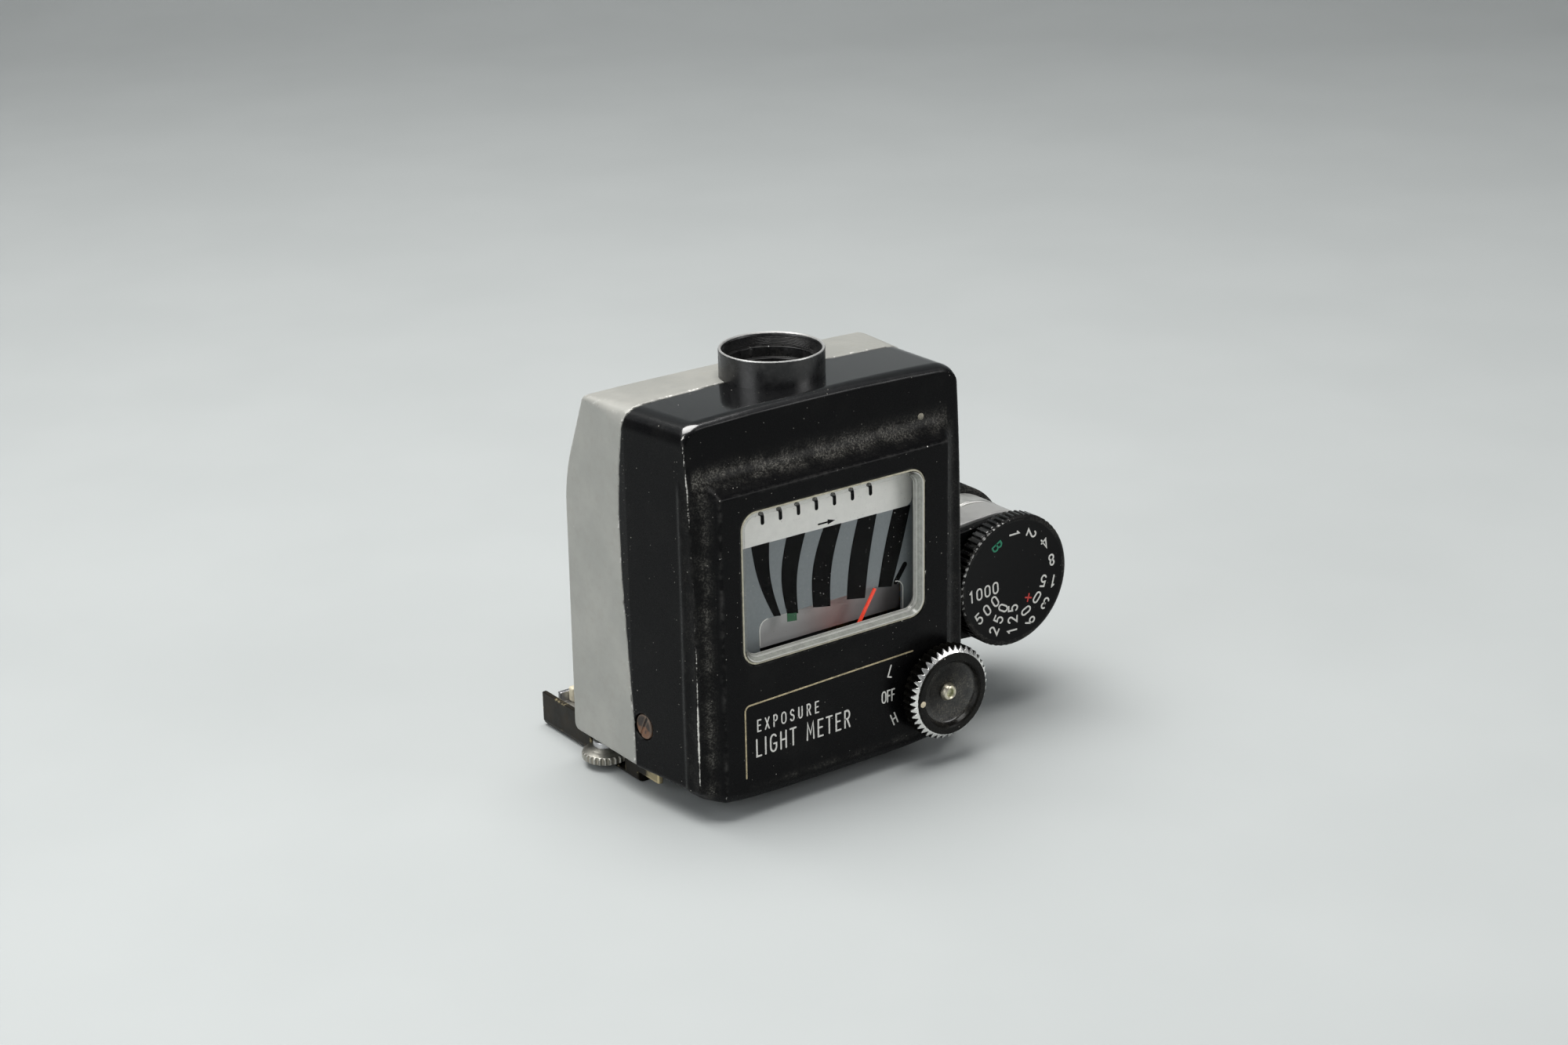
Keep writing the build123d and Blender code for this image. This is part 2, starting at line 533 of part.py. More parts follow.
with BuildPart() as idler_gear:
    add(prism(gear_face(IDLER_X, IDLER_Z, IDLER_TEETH, 172 + 180, True, GEAR_Y1), GEAR_Y0, GEAR_Y1))
    ycyl(2.2, IDLER_X, IDLER_Z, GEAR_Y1, 14.4)
    ycyl(1.05, IDLER_X, IDLER_Z, 10, 15, Mode.SUBTRACT)
save(idler_gear, "idler_gear")

with BuildPart() as gear_studs:
    ycyl(1.0, IDLER_X, IDLER_Z, 10.9, 15.2)
    ycyl(1.7, IDLER_X, IDLER_Z, 10.6, 11.05)
    ycyl(1.2, SWHEEL_X, SWHEEL_Z, 10.9, CHASSIS_Y1)
    ycyl(1.9, SWHEEL_X, SWHEEL_Z, 10.6, 11.05)
save(gear_studs, "gear_studs")

# the idler tooth phase toward the wheel sets the wheel's own phase
idler_pitch = 360 / IDLER_TEETH
phase = ((160 - (172 + 180 + idler_pitch / 2)) / idler_pitch) % 1.0
wheel_phase = 160 + 180 + phase * 360 / WHEEL_TEETH

with BuildPart() as speed_wheel:
    add(prism(gear_face(SWHEEL_X, SWHEEL_Z, WHEEL_TEETH, wheel_phase, True, GEAR_Y1), GEAR_Y0, GEAR_Y1))
    ycyl(2.4, SWHEEL_X, SWHEEL_Z, GEAR_Y1, 13.5)
    ycyl(1.26, SWHEEL_X, SWHEEL_Z, 10, 15, Mode.SUBTRACT)
    for i in range(5):
        a = radians(72 * i + 20)
        ycyl(2.3, SWHEEL_X + 5.8 * cos(a), SWHEEL_Z + 5.8 * sin(a), 10, 13.2, Mode.SUBTRACT)
save(speed_wheel, "speed_wheel")

with BuildPart() as resistor_track:
    ycyl(8.6, SWHEEL_X, SWHEEL_Z, 13.25, CHASSIS_Y0)
    ycyl(6.2, SWHEEL_X, SWHEEL_Z, 13, 14, Mode.SUBTRACT)
    block(SWHEEL_X - 2.5, SWHEEL_X + 2.5, 13, 14, SWHEEL_Z - 10, SWHEEL_Z, Mode.SUBTRACT)
save(resistor_track, "resistor_track")

with BuildPart() as wiper:
    block(SWHEEL_X - 0.6, SWHEEL_X + 0.6, 12.82, 13.02, SWHEEL_Z + 2.45, SWHEEL_Z + 8.2)
    with Locations((SWHEEL_X, 13.1, SWHEEL_Z + 7.4)):
        Box(0.8, 0.24, 0.8)
save(wiper, "wiper")

with BuildPart() as coupling_collar:
    ycyl(COLLAR_R, DIAL_X, DIAL_Z, 15.95, 20.1)
    ycyl(9.2, DIAL_X, DIAL_Z, 15.65, 16.0)
    ycyl(6.0, DIAL_X, DIAL_Z, 20.0, 22.4)
    with BuildSketch(face_plane(19.0)):
        with Locations((DIAL_X, DIAL_Z)):
            Circle(8.6)
            Circle(3.6, mode=Mode.SUBTRACT)
    extrude(amount=2.2, mode=Mode.SUBTRACT)
    ycyl(SHAFT_R, DIAL_X, DIAL_Z, 15, 20.1, Mode.SUBTRACT)
    ycyl(0.72, DIAL_X, DIAL_Z, 19, 24, Mode.SUBTRACT)
save(coupling_collar, "coupling_collar")

with BuildPart() as film_ring:
    add(prism(serrated_face(DIAL_X, DIAL_Z, RING_R, 0.3, 72, 0, 26.2, 0.45), 20.3, 26.2))
    ycyl(9.2, DIAL_X, DIAL_Z, 23.2, 27, Mode.SUBTRACT)
    ycyl(6.06, DIAL_X, DIAL_Z, 19, 24, Mode.SUBTRACT)
    for s in (-1, 1):
        ycyl(0.6, DIAL_X, DIAL_Z + s * 8.3, 23.0, 24.7)
save(film_ring, "film_ring")

with BuildPart() as ring_washer:
    ycyl(7.2, DIAL_X, DIAL_Z, 23.25, 23.8)
    ycyl(5.9, DIAL_X, DIAL_Z, 22.4, 23.3)
    ycyl(0.72, DIAL_X, DIAL_Z, 22, 24, Mode.SUBTRACT)
save(ring_washer, "ring_washer")

with BuildPart() as shaft_screw:
    ycyl(1.9, DIAL_X, DIAL_Z, 23.8, 24.7)
    block(DIAL_X - 2, DIAL_X + 2, 24.35, 25, DIAL_Z - 0.25, DIAL_Z + 0.25, Mode.SUBTRACT)
    ycyl(0.7, DIAL_X, DIAL_Z, 17.8, 23.8)
save(shaft_screw, "shaft_screw")

# -------------------------------------------------------------- range switch
with BuildPart() as range_knob:
    add(prism(serrated_face(KNOB_X, KNOB_Z, KNOB_R, 0.5, KNOB_TEETH, 0, -1.0, 0.3), -3.2, -1.0))
    ycyl(6.3, KNOB_X, KNOB_Z, -4.0, -3.2)
    ycyl(5.0, KNOB_X, KNOB_Z, -4.2, -2.75, Mode.SUBTRACT)
    ycyl(6.0, KNOB_X, KNOB_Z, -1.6, -0.9, Mode.SUBTRACT)
    ycyl(2.8, KNOB_X, KNOB_Z, -2.0, -0.95)
    ycyl(SHAFT_R, KNOB_X, KNOB_Z, -2.1, 0, Mode.SUBTRACT)
    ycyl(0.8, KNOB_X, KNOB_Z, -4, -2, Mode.SUBTRACT)
    ycyl(0.5, KNOB_X - 5.63, KNOB_Z - 0.15, -4.2, -3.6, Mode.SUBTRACT)
save(range_knob, "range_knob")

with BuildPart() as knob_trim:
    add(prism(serrated_face(KNOB_X, KNOB_Z, KNOB_R, 0.5, KNOB_TEETH, 0, -3.2, 0.3), -3.62, -3.2))
    ycyl(6.3, KNOB_X, KNOB_Z, -5, -3, Mode.SUBTRACT)
save(knob_trim, "knob_trim")

with BuildPart() as knob_pin:
    ycyl(1.3, KNOB_X, KNOB_Z, -3.5, -2.75)
    ycyl(0.65, KNOB_X, KNOB_Z, -4, -3.1, Mode.SUBTRACT)
    ycyl(0.8, KNOB_X, KNOB_Z, -2.75, -1.3)
save(knob_pin, "knob_pin")

with BuildPart() as knob_index:
    ycyl(0.5, KNOB_X - 5.63, KNOB_Z - 0.15, -4.0, -3.6)
save(knob_index, "knob_index")

with BuildPart() as switch_bushing:
    ycyl(2.5, KNOB_X, KNOB_Z, -0.7, 4.4)
    ycyl(3.8, KNOB_X, KNOB_Z, 3.85, 4.6)
    ycyl(BORE_R, KNOB_X, KNOB_Z, -2, 5, Mode.SUBTRACT)
save(switch_bushing, "switch_bushing")

with BuildPart() as switch_shaft:
    ycyl(SHAFT_R, KNOB_X, KNOB_Z, -2.1, 9.4)
    ycyl(0.8, KNOB_X, KNOB_Z, -3, -1.3, Mode.SUBTRACT)
save(switch_shaft, "switch_shaft")

with BuildPart() as switch_rotor:
    ycyl(3.3, KNOB_X, KNOB_Z, 6.0, 6.8)
    ycyl(2.3, KNOB_X, KNOB_Z, 5.2, 6.1)
    ycyl(SHAFT_R, KNOB_X, KNOB_Z, 5, 7, Mode.SUBTRACT)
    ycyl(0.35, KNOB_X - 3.4, KNOB_Z, 5.5, 7, Mode.SUBTRACT)
save(switch_rotor, "switch_rotor")

with BuildPart() as switch_stator:
    block(KNOB_X - 4.2, KNOB_X + 4.2, 7.2, 8.0, KNOB_Z - 4.2, KNOB_Z + 4.2)
    ycyl(BORE_R, KNOB_X, KNOB_Z, 7, 9, Mode.SUBTRACT)
    for dx, dz in ((-3.4, -3.4), (3.4, 3.4)):
        ycyl(0.6, KNOB_X + dx, KNOB_Z + dz, 8.0, CHASSIS_Y0)
    for k in range(3):
        a = radians(150 + 30 * k)
        ycyl(0.4, KNOB_X + 2.7 * cos(a), KNOB_Z + 2.7 * sin(a), 7, 9, Mode.SUBTRACT)
save(switch_stator, "switch_stator")

with BuildPart() as switch_contacts:
    for k in range(3):
        a = radians(150 + 30 * k)
        ycyl(0.4, KNOB_X + 2.7 * cos(a), KNOB_Z + 2.7 * sin(a), 6.95, 9.0)
    block(KNOB_X - 4.1, KNOB_X - 3.75, 5.9, 7.2, KNOB_Z - 3.6, KNOB_Z + 3.6)
save(switch_contacts, "switch_contacts")

# ---------------------------------------------------------------- light cell
with BuildPart() as cell_tube:
    zcyl(TUBE_R, 0, TUBE_Y, 56.0, TUBE_TOP)
    chamfer(cell_tube.edges().sort_by(Axis.Z)[-1], length=0.18)
    add(cover_outer, mode=Mode.SUBTRACT)
    add(shell_outer, mode=Mode.SUBTRACT)
    block(-9, 9, TUBE_Y - 9, TUBE_Y + 9, 54, 58.4, Mode.SUBTRACT)
    zcyl(NECK_R, 0, TUBE_Y, 54.2, 60.7)
    zcyl(7.12, 0, TUBE_Y, TUBE_TOP - 1.9, 66, Mode.SUBTRACT)
    zcyl(6.35, 0, TUBE_Y, 60.4, 66, Mode.SUBTRACT)
    zcyl(5.6, 0, TUBE_Y, 54, 66, Mode.SUBTRACT)
save(cell_tube, "cell_tube")

with BuildPart() as cell_rings:
    zcyl(8.4, 0, TUBE_Y, 55.6, 57.3)
    zcyl(NECK_R, 0, TUBE_Y, 55, 58, Mode.SUBTRACT)
    for k in range(4):
        a = radians(45 + 90 * k)
        zcyl(0.9, 8.6 * cos(a), TUBE_Y + 8.6 * sin(a), 55, 58, Mode.SUBTRACT)
    zcyl(5.58, 0, TUBE_Y, 58.7, 59.9)
    zcyl(4.3, 0, TUBE_Y, 58.3, 61, Mode.SUBTRACT)
save(cell_rings, "cell_rings")

with BuildPart() as cell_window:
    zcyl(5.56, 0, TUBE_Y, 57.4, 58.7)
save(cell_window, "cell_window")

with BuildPart() as cds_cell:
    zcyl(5.5, 0, TUBE_Y, 54.6, 57.2)
save(cds_cell, "cds_cell")

with BuildPart() as cell_leads:
    for s in (-1, 1):
        zcyl(0.3, s * 2.5, TUBE_Y + 1.6, 50.4, 54.6)
        with Locations((s * 2.5, TUBE_Y + 1.6, 50.4)):
            Sphere(0.3)
        xcyl(0.3, TUBE_Y + 1.6, 50.4, min(s * 2.5, s * 12), max(s * 2.5, s * 12))
save(cell_leads, "cell_leads")

# ----------------------------------------------------- circuit board, battery
with BuildPart() as circuit_board:
    block(-22.4, -12.4, 8.0, 9.2, 23.0, 40.6)
save(circuit_board, "circuit_board")

with BuildPart() as resistors:
    for k in range(3):
        z = 26.5 + 5.0 * k
        xcyl(1.1, 6.7, z, -20.6, -14.4)
        for x in (-21.4, -13.6):
            ycyl(0.25, x, z, 6.45, 8.0)
        xcyl(0.25, 6.7, z, -21.4, -20.6)
        xcyl(0.25, 6.7, z, -14.4, -13.6)
save(resistors, "resistors")

with BuildPart() as battery_cup:
    ycyl(9.2, BATTERY_X, BATTERY_Z, CHASSIS_Y1, SADDLE_Y - 1)
    ycyl(7.9, BATTERY_X, BATTERY_Z, 15.4, 23, Mode.SUBTRACT)
    ycyl(8.25, BATTERY_X, BATTERY_Z, 21.2, 23, Mode.SUBTRACT)
save(battery_cup, "battery_cup")

with BuildPart() as battery_contact:
    ycyl(3.0, BATTERY_X, BATTERY_Z, 15.4, 15.65)
    ycyl(1.2, BATTERY_X, BATTERY_Z, 15.6, 15.8)
save(battery_contact, "battery_contact")

with BuildPart() as battery:
    ycyl(6.9, BATTERY_X, BATTERY_Z, 15.8, 16.4)
    ycyl(BATTERY_R, BATTERY_X, BATTERY_Z, 16.3, 21.2)
    fillet(battery.faces().sort_by(Axis.Y)[-1].edges(), radius=0.4)
save(battery, "battery")

with BuildPart() as battery_cover:
    ycyl(8.2, BATTERY_X, BATTERY_Z, 21.3, 22.5)
    block(BATTERY_X - 4.5, BATTERY_X + 4.5, 21.9, 23, BATTERY_Z - 0.75, BATTERY_Z + 0.75, Mode.SUBTRACT)
save(battery_cover, "battery_cover")

# ------------------------------------------------------- clip, wheel and jaw
with BuildPart() as clip_bracket:
    with BuildSketch(Plane.XZ.offset(-BRACKET_Y1)):
        with BuildLine():
            Polyline((-FLANGE_X, 5.6), (-FLANGE_X, 0), (FLANGE_X, 0), (FLANGE_X, 5.6),
                     (FLANGE_X - WEB_T, 5.6), (FLANGE_X - WEB_T, WEB_T), (-FLANGE_X + WEB_T, WEB_T),
                     (-FLANGE_X + WEB_T, 5.6), close=True)
        make_face()
    extrude(amount=BRACKET_Y1 - BRACKET_Y0)
    fillet(clip_bracket.edges().filter_by(Axis.Y).filter_by(lambda e: e.center().Z < 0.01), radius=1.0)
    block(-30, 30, 10, 33.4, 4.2, 8, Mode.SUBTRACT)
    block(-FLANGE_X - 1, -FLANGE_X + 1.5, 23.0, 32.3, WEB_T, 8, Mode.SUBTRACT)
    for s in (-1, 1):
        block(min(s * 15.5, s * 23), max(s * 15.5, s * 23), 13.0, 19.5, -1, 1.85, Mode.SUBTRACT)
    for s in (-1, 1):
        zcyl(0.85, s * 11.0, 19.2, -1, 2, Mode.SUBTRACT)
        with Locations((s * 11.0, 19.2, 0.3)):
            Cone(1.75, 0.85, 0.6, mode=Mode.SUBTRACT)
save(clip_bracket, "clip_bracket")

with BuildPart() as bracket_spacers:
    for s in (-1, 1):
        zcyl(1.9, s * 11.0, 19.2, WEB_T, Z_LOW + 2.4)
        zcyl(0.85, s * 11.0, 19.2, 0, 6, Mode.SUBTRACT)
    add(shell_outer, mode=Mode.SUBTRACT)
save(bracket_spacers, "bracket_spacers")

with BuildPart() as bracket_screws:
    for s in (-1, 1):
        with Locations((s * 11.0, 19.2, 0.33)):
            Cone(1.66, 0.83, 0.54)
        zcyl(0.83, s * 11.0, 19.2, 0.5, 9.8)
        block(s * 11.0 - 1.8, s * 11.0 + 1.8, 19.0, 19.4, 0, 0.26, Mode.SUBTRACT)
save(bracket_screws, "bracket_screws")

with BuildPart() as thumb_wheel:
    pts = []
    for i in range(WHEEL_FLUTES * 4):
        a = 2 * pi * i / (WHEEL_FLUTES * 4)
        r = WHEEL_R if i % 4 in (0, 1) else WHEEL_R - 0.28
        pts.append((WHEEL_X + r * cos(a), WHEEL_Y + r * sin(a)))
    with BuildSketch(Plane.XY.offset(0.95)):
        with BuildLine():
            Polyline(*pts, close=True)
        make_face()
    extrude(amount=1.4)
    zcyl(0.9, WHEEL_X, WHEEL_Y, 0, 3, Mode.SUBTRACT)
save(thumb_wheel, "thumb_wheel")

with BuildPart() as wheel_stem:
    zcyl(0.9, WHEEL_X, WHEEL_Y, 0.95, 2.35)
    zcyl(0.98, WHEEL_X, WHEEL_Y, 2.35, 8.0)
    zcyl(1.3, WHEEL_X, WHEEL_Y, 7.9, 8.7)
save(wheel_stem, "wheel_stem")

with BuildPart() as clamp_jaw:
    block(-21.5, -18.2, 26.6, 35.0, 3.0, 4.0)
    zcyl(1.85, WHEEL_X, WHEEL_Y, 3.0, 4.0)
    zcyl(1.03, WHEEL_X, WHEEL_Y, 2, 5, Mode.SUBTRACT)
    block(-21.5, 21.5, 34.0, 44.4, 3.0, 4.0)
    block(-20.5, 20.5, 43.6, 44.4, 3.0, 5.6)
save(clamp_jaw, "clamp_jaw")

with BuildPart() as jaw_pad:
    block(-19.2, 19.2, 42.2, 43.6, 4.0, 6.4)
save(jaw_pad, "jaw_pad")

print("done")
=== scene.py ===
import functools
import math

import bpy
import numpy as np
from mathutils import Matrix, Vector


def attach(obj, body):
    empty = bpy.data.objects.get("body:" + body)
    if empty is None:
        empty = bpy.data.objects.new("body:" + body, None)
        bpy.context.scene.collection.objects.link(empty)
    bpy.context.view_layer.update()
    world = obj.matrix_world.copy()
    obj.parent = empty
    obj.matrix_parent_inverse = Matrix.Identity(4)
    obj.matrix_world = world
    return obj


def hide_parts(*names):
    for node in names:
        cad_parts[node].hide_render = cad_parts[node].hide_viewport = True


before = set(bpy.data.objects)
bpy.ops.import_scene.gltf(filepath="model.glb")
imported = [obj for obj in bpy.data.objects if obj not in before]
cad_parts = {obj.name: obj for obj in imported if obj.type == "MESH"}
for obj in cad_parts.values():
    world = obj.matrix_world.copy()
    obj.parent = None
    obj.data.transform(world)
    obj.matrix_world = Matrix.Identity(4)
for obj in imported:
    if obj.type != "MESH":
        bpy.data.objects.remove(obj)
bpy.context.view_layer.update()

# Lengths below are millimetres in the layout frame of the part: plateau face at
# y = 0, tube axis at x = 0, floor at z = 0.  put() moves them to the shared frame.
ORIGIN = np.array([11.3, 21.0, 0.0])
HALF_WIDTH = 25.0                   # of the housing
SEAM_Y = 16.0                       # joint of cover and shell
COVER_WALL = 1.05
SHELL_WALL = 1.2
PLATEAU = (-20.0, 20.4, -10.0, 49.2)    # x and z limits of the raised front; it runs out below
WINDOW = (-16.6, 16.0, 23.4, 46.4)      # x and z limits of the window's opening
WINDOW_RADIUS = 2.6
DIAL = (37.75, 21.55)
KNOB = (18.1, 11.35)
TUBE = (0.0, 15.0)
TUBE_BORE = 6.46
WHEEL = (-22.3, 28.3)
BATTERY = (-3.5, 36.0)
SCREW_Y = 13.9
SIDE_SCREWS = ((-1, 11.8), (1, 45.0))   # side and z of each
DIAL_BORE = 1.56
BENCH_YAW = math.radians(35.92)     # of the camera, and of the floor's sweep behind the part


def put(points):
    return (np.asarray(points, float).reshape(-1, 3) - ORIGIN) * 0.001


# ------------------------------------------------------------------ materials
class Graph:
    """Builds the shader nodes of one material, with positions in millimetres."""

    def __init__(self, name):
        self.mat = bpy.data.materials.new(name)
        self.mat.use_nodes = True
        self.tree = self.mat.node_tree
        self.tree.nodes.clear()
        self.shader = self.node("BsdfPrincipled")
        self.link(self.shader.outputs[0], self.node("OutputMaterial").inputs[0])
        self.pos = self.node("TexCoord").outputs["Object"]
        self.pos = self.stretched((1000, 1000, 1000))

    def link(self, value, socket):
        if isinstance(value, bpy.types.NodeSocket):
            self.tree.links.new(value, socket)
        elif socket.type == "RGBA":
            socket.default_value = (*value, 1)
        else:
            socket.default_value = value

    def node(self, kind, *values, **settings):
        """A new node: values go to its first inputs, settings to its own properties."""
        new = self.tree.nodes.new("ShaderNode" + kind)
        for key, value in settings.items():
            setattr(new, key, value)
        for value, socket in zip(values, new.inputs):
            self.link(value, socket)
        return new

    def set(self, **values):
        for key, value in values.items():
            self.link(value, self.shader.inputs[key.replace("_", " ")])

    def add(self, a, b, clamp=False):
        return self.node("Math", a, b, operation="ADD", use_clamp=clamp).outputs[0]

    def sub(self, a, b):
        return self.node("Math", a, b, operation="SUBTRACT").outputs[0]

    def mul(self, a, b):
        return self.node("Math", a, b, operation="MULTIPLY").outputs[0]

    def max(self, a, b):
        return self.node("Math", a, b, operation="MAXIMUM").outputs[0]

    def stretched(self, scale, turn=(0, 0, 0)):
        new = self.node("Mapping", self.pos)
        new.inputs["Scale"].default_value = scale
        new.inputs["Rotation"].default_value = turn
        return new.outputs[0]

    def noise(self, scale, detail=4.0, rough=0.55, at=None):
        new = self.node("TexNoise", at or self.pos)
        for key, value in (("Scale", scale), ("Detail", detail), ("Roughness", rough)):
            new.inputs[key].default_value = value
        return new.outputs["Fac"]

    def ramp(self, value, low, high, out_low=0.0, out_high=1.0):
        settings = (value, low, high, out_low, out_high)
        return self.node("MapRange", *settings, interpolation_type="SMOOTHSTEP").outputs[0]

    def mix(self, share, a, b):
        """Colour a, with the share of colour b over it."""
        new = self.node("Mix", share, data_type="RGBA")
        self.link(a, new.inputs[6])
        self.link(b, new.inputs[7])
        return new.outputs[2]

    def blend(self, share, a, b):
        """Number a, with the share of number b."""
        new = self.node("Mix", share)
        self.link(a, new.inputs[2])
        self.link(b, new.inputs[3])
        return new.outputs[0]

    def attribute(self, name):
        return self.node("Attribute", attribute_name=name).outputs["Fac"]

    def axis(self, which):
        return self.node("SeparateXYZ", self.pos).outputs[which]

    def bump(self, height, strength, distance=0.00004):
        new = self.node("Bump")
        new.inputs["Strength"].default_value = strength
        new.inputs["Distance"].default_value = distance
        self.link(height, new.inputs["Height"])
        self.link(new.outputs[0], self.shader.inputs["Normal"])

    def scratches(self, turn, limit=0.73):
        """Fine straight scratches, in patches."""
        lines = self.noise(2.2, 3.0, 0.7, self.stretched((0.10, 1.7, 1.7), turn))
        patches = self.noise(0.22, 2.0, 0.5)
        return self.mul(self.ramp(lines, limit, limit + 0.05), self.ramp(patches, 0.5, 0.62))

    def specks(self, scale, size, share):
        """Round dust specks, in the cells whose random number is above the share."""
        cells = self.node("TexVoronoi", self.pos)
        cells.inputs["Scale"].default_value = scale
        near = self.ramp(cells.outputs["Distance"], size * 0.6, size, 1.0, 0.0)
        drawn = self.node("SeparateColor", cells.outputs["Color"]).outputs[0]
        return self.mul(near, self.ramp(drawn, share, share + 0.03))


def worn_black(name, color=(0.0028, 0.0028, 0.0031), rough=0.3, wear=1.0, dust=1.0, scratch=1.0,
               metal=(0.72, 0.70, 0.66), shine=0.085, dust_and_light_color=(0.20, 0.192, 0.172)):
    """Black lacquer: bare worn edges, powder in the hollows, scratches and specks. The hollow layer also
    paints light where pieces set it (painted highlight on the cover's bottom bend, the lit side of the knob's
    dish), and the rubbed edge colour paints a highlight along the plateau's left edge.
    """
    g = Graph(name)
    edge, hollow, gloss = g.attribute("edge"), g.attribute("hollow"), g.attribute("gloss")
    chips = g.mul(edge, g.ramp(g.noise(0.9, 5.0, 0.7), 0.68 - 0.06 * wear, 0.74 - 0.06 * wear))
    ragged = g.add(g.attribute("bare"), g.sub(g.noise(2.6, 4.0, 0.7), 0.5))
    bare = g.max(g.ramp(chips, 0.35, 0.65), g.ramp(ragged, 0.44, 0.66))
    bare = g.mul(bare, min(1.0, wear))
    # Rubbed edge colour; on the cover the edge paint also holds a painted highlight along the plateau's left
    # edge.
    rubbed = g.mul(edge, g.ramp(g.noise(0.7, 5.0, 0.65), 0.42, 0.72, 0.0, 0.7 * wear))
    # The hollow layer: dust, and painted highlight or painted light wherever a piece puts them into its
    # hollow paint.
    dust_and_light = g.ramp(g.noise(3.4, 6.0, 0.85), 0.47, 0.60)
    patch = g.ramp(g.noise(0.30, 4.0, 0.6), 0.38, 0.64)
    dust_and_light_share = g.mul(g.mul(hollow, g.ramp(patch, 0, 1, 0.2, 1.0)), g.ramp(dust_and_light, 0, 1, 0.10, 1.0))
    film = g.mul(g.ramp(g.noise(0.16, 3.0, 0.5), 0.5, 0.8), 0.018 * dust)
    dust_and_light_share = g.add(g.mul(dust_and_light_share, 0.85 * dust), film, clamp=True)
    lines = g.max(g.scratches((0.3, 0.9, 0.5)), g.scratches((1.2, 0.4, 1.9), 0.75))
    lines = g.mul(lines, 0.28 * scratch)
    dots = g.mul(g.max(g.specks(0.75, 0.075, 0.8), g.specks(1.6, 0.11, 0.86)), 0.55 * dust)
    base = g.mix(rubbed, color, (0.060, 0.058, 0.056))
    base = g.mix(lines, base, (0.30, 0.29, 0.27))
    base = g.mix(dust_and_light_share, base, dust_and_light_color)
    base = g.mix(dots, base, (0.62, 0.60, 0.54))
    base = g.mix(bare, base, metal)
    matt = g.ramp(g.noise(1.6, 6.0, 0.65), 0.25, 0.75, rough - 0.05, rough + 0.10)
    matt = g.blend(g.max(dust_and_light_share, rubbed), matt, 0.75)
    matt = g.blend(bare, matt, 0.34)
    matt = g.blend(g.mul(gloss, 0.8), matt, 0.16)
    g.set(Base_Color=base, Roughness=matt, Metallic=bare, Coat_Weight=gloss, Coat_Roughness=0.1)
    g.set(Specular_IOR_Level=g.blend(gloss, shine, 0.9))
    ripple = g.mul(g.noise(0.5, 3.0, 0.5), 0.8)
    g.bump(g.add(ripple, g.add(g.mul(bare, -1.0), g.mul(lines, -0.5))), 0.25, 0.00005)
    return g.mat


def metal(name, color, rough, variation=0.08, grime=0.25, tarnish=(0.22, 0.17, 0.10), brushed=None):
    """Bare or plated metal with handling marks and darkened recesses."""
    g = Graph(name)
    fine = g.noise(0.8, 5.0, 0.6)
    grain = g.noise(6.0, 3.0, 0.7, g.stretched(brushed) if brushed else None)
    dirt = g.mul(g.max(g.attribute("hollow"), g.ramp(fine, 0.55, 0.8)), grime)
    tone = g.ramp(grain, 0.3, 0.7, 1 - variation, 1 + variation)
    mixed = g.add(g.mul(grain, 0.5), g.mul(fine, 0.5))
    g.set(Base_Color=g.mix(dirt, g.mix(tone, (0, 0, 0), color), tarnish),
          Metallic=g.sub(1.0, g.mul(dirt, 0.8)),
          Roughness=g.ramp(mixed, 0.3, 0.7, rough - 0.05, rough + 0.12))
    g.bump(grain, 0.12)
    return g.mat


def plated_grey():
    """Satin grey plating of the lower shell: warm stains, specks and a few nicks."""
    g = Graph("satin_grey")
    edge = g.attribute("edge")
    mottle = g.noise(0.7, 6.0, 0.7)
    nick = g.mul(edge, g.ramp(g.noise(1.1, 4.0, 0.7), 0.56, 0.62))
    turned = g.stretched((1, 1, 1), (0, 0, 1))
    dark = g.mul(edge, g.ramp(g.noise(0.8, 4.0, 0.7, turned), 0.62, 0.66))
    dots = g.specks(0.55, 0.06, 0.72)
    stain = g.specks(0.35, 0.09, 0.85)
    base = g.mix(g.ramp(g.noise(0.11), 0.35, 0.7), (0.305, 0.306, 0.284), (0.345, 0.343, 0.318))
    base = g.mix(g.mul(g.ramp(mottle, 0.5, 0.75), 0.25), base, (0.29, 0.275, 0.225))
    base = g.mix(nick, base, (0.72, 0.71, 0.68))
    base = g.mix(dark, base, (0.06, 0.055, 0.05))
    base = g.mix(g.mul(dots, 0.8), base, (0.62, 0.61, 0.56))
    base = g.mix(g.mul(stain, 0.35), base, (0.17, 0.15, 0.11))
    g.set(Base_Color=base, Metallic=0.25, Roughness=g.ramp(mottle, 0.3, 0.7, 0.40, 0.52))
    g.bump(g.add(g.mul(g.noise(14.0, 2.0, 0.6), 0.5), dots), 0.12)
    return g.mat


def plain(name, color, rough=0.5, metallic=0.0, speck=0.0, mottled=0.12, scale=1.2, bump=0.08,
          coat=0.0, shine=0.5):
    """Painted, printed or moulded surface with slight mottling and dust specks."""
    g = Graph(name)
    mottle = g.noise(scale, 5.0, 0.65)
    dark = tuple(c * (1 - mottled) for c in color)
    light = tuple(min(1.0, c * (1 + mottled)) for c in color)
    base = g.mix(g.ramp(mottle, 0.3, 0.7), dark, light)
    if speck:
        dots = g.max(g.specks(1.0, 0.07, 0.78), g.specks(2.1, 0.10, 0.85))
        base = g.mix(g.mul(dots, speck), base, (0.70, 0.69, 0.64))
    matt = g.ramp(mottle, 0.3, 0.7, max(0.02, rough - 0.06), rough + 0.08)
    g.set(Base_Color=base, Metallic=metallic, Roughness=matt, Specular_IOR_Level=shine)
    if coat:
        g.set(Coat_Weight=coat, Coat_Roughness=0.06)
    g.bump(g.noise(scale * 7, 3.0, 0.6), bump)
    return g.mat


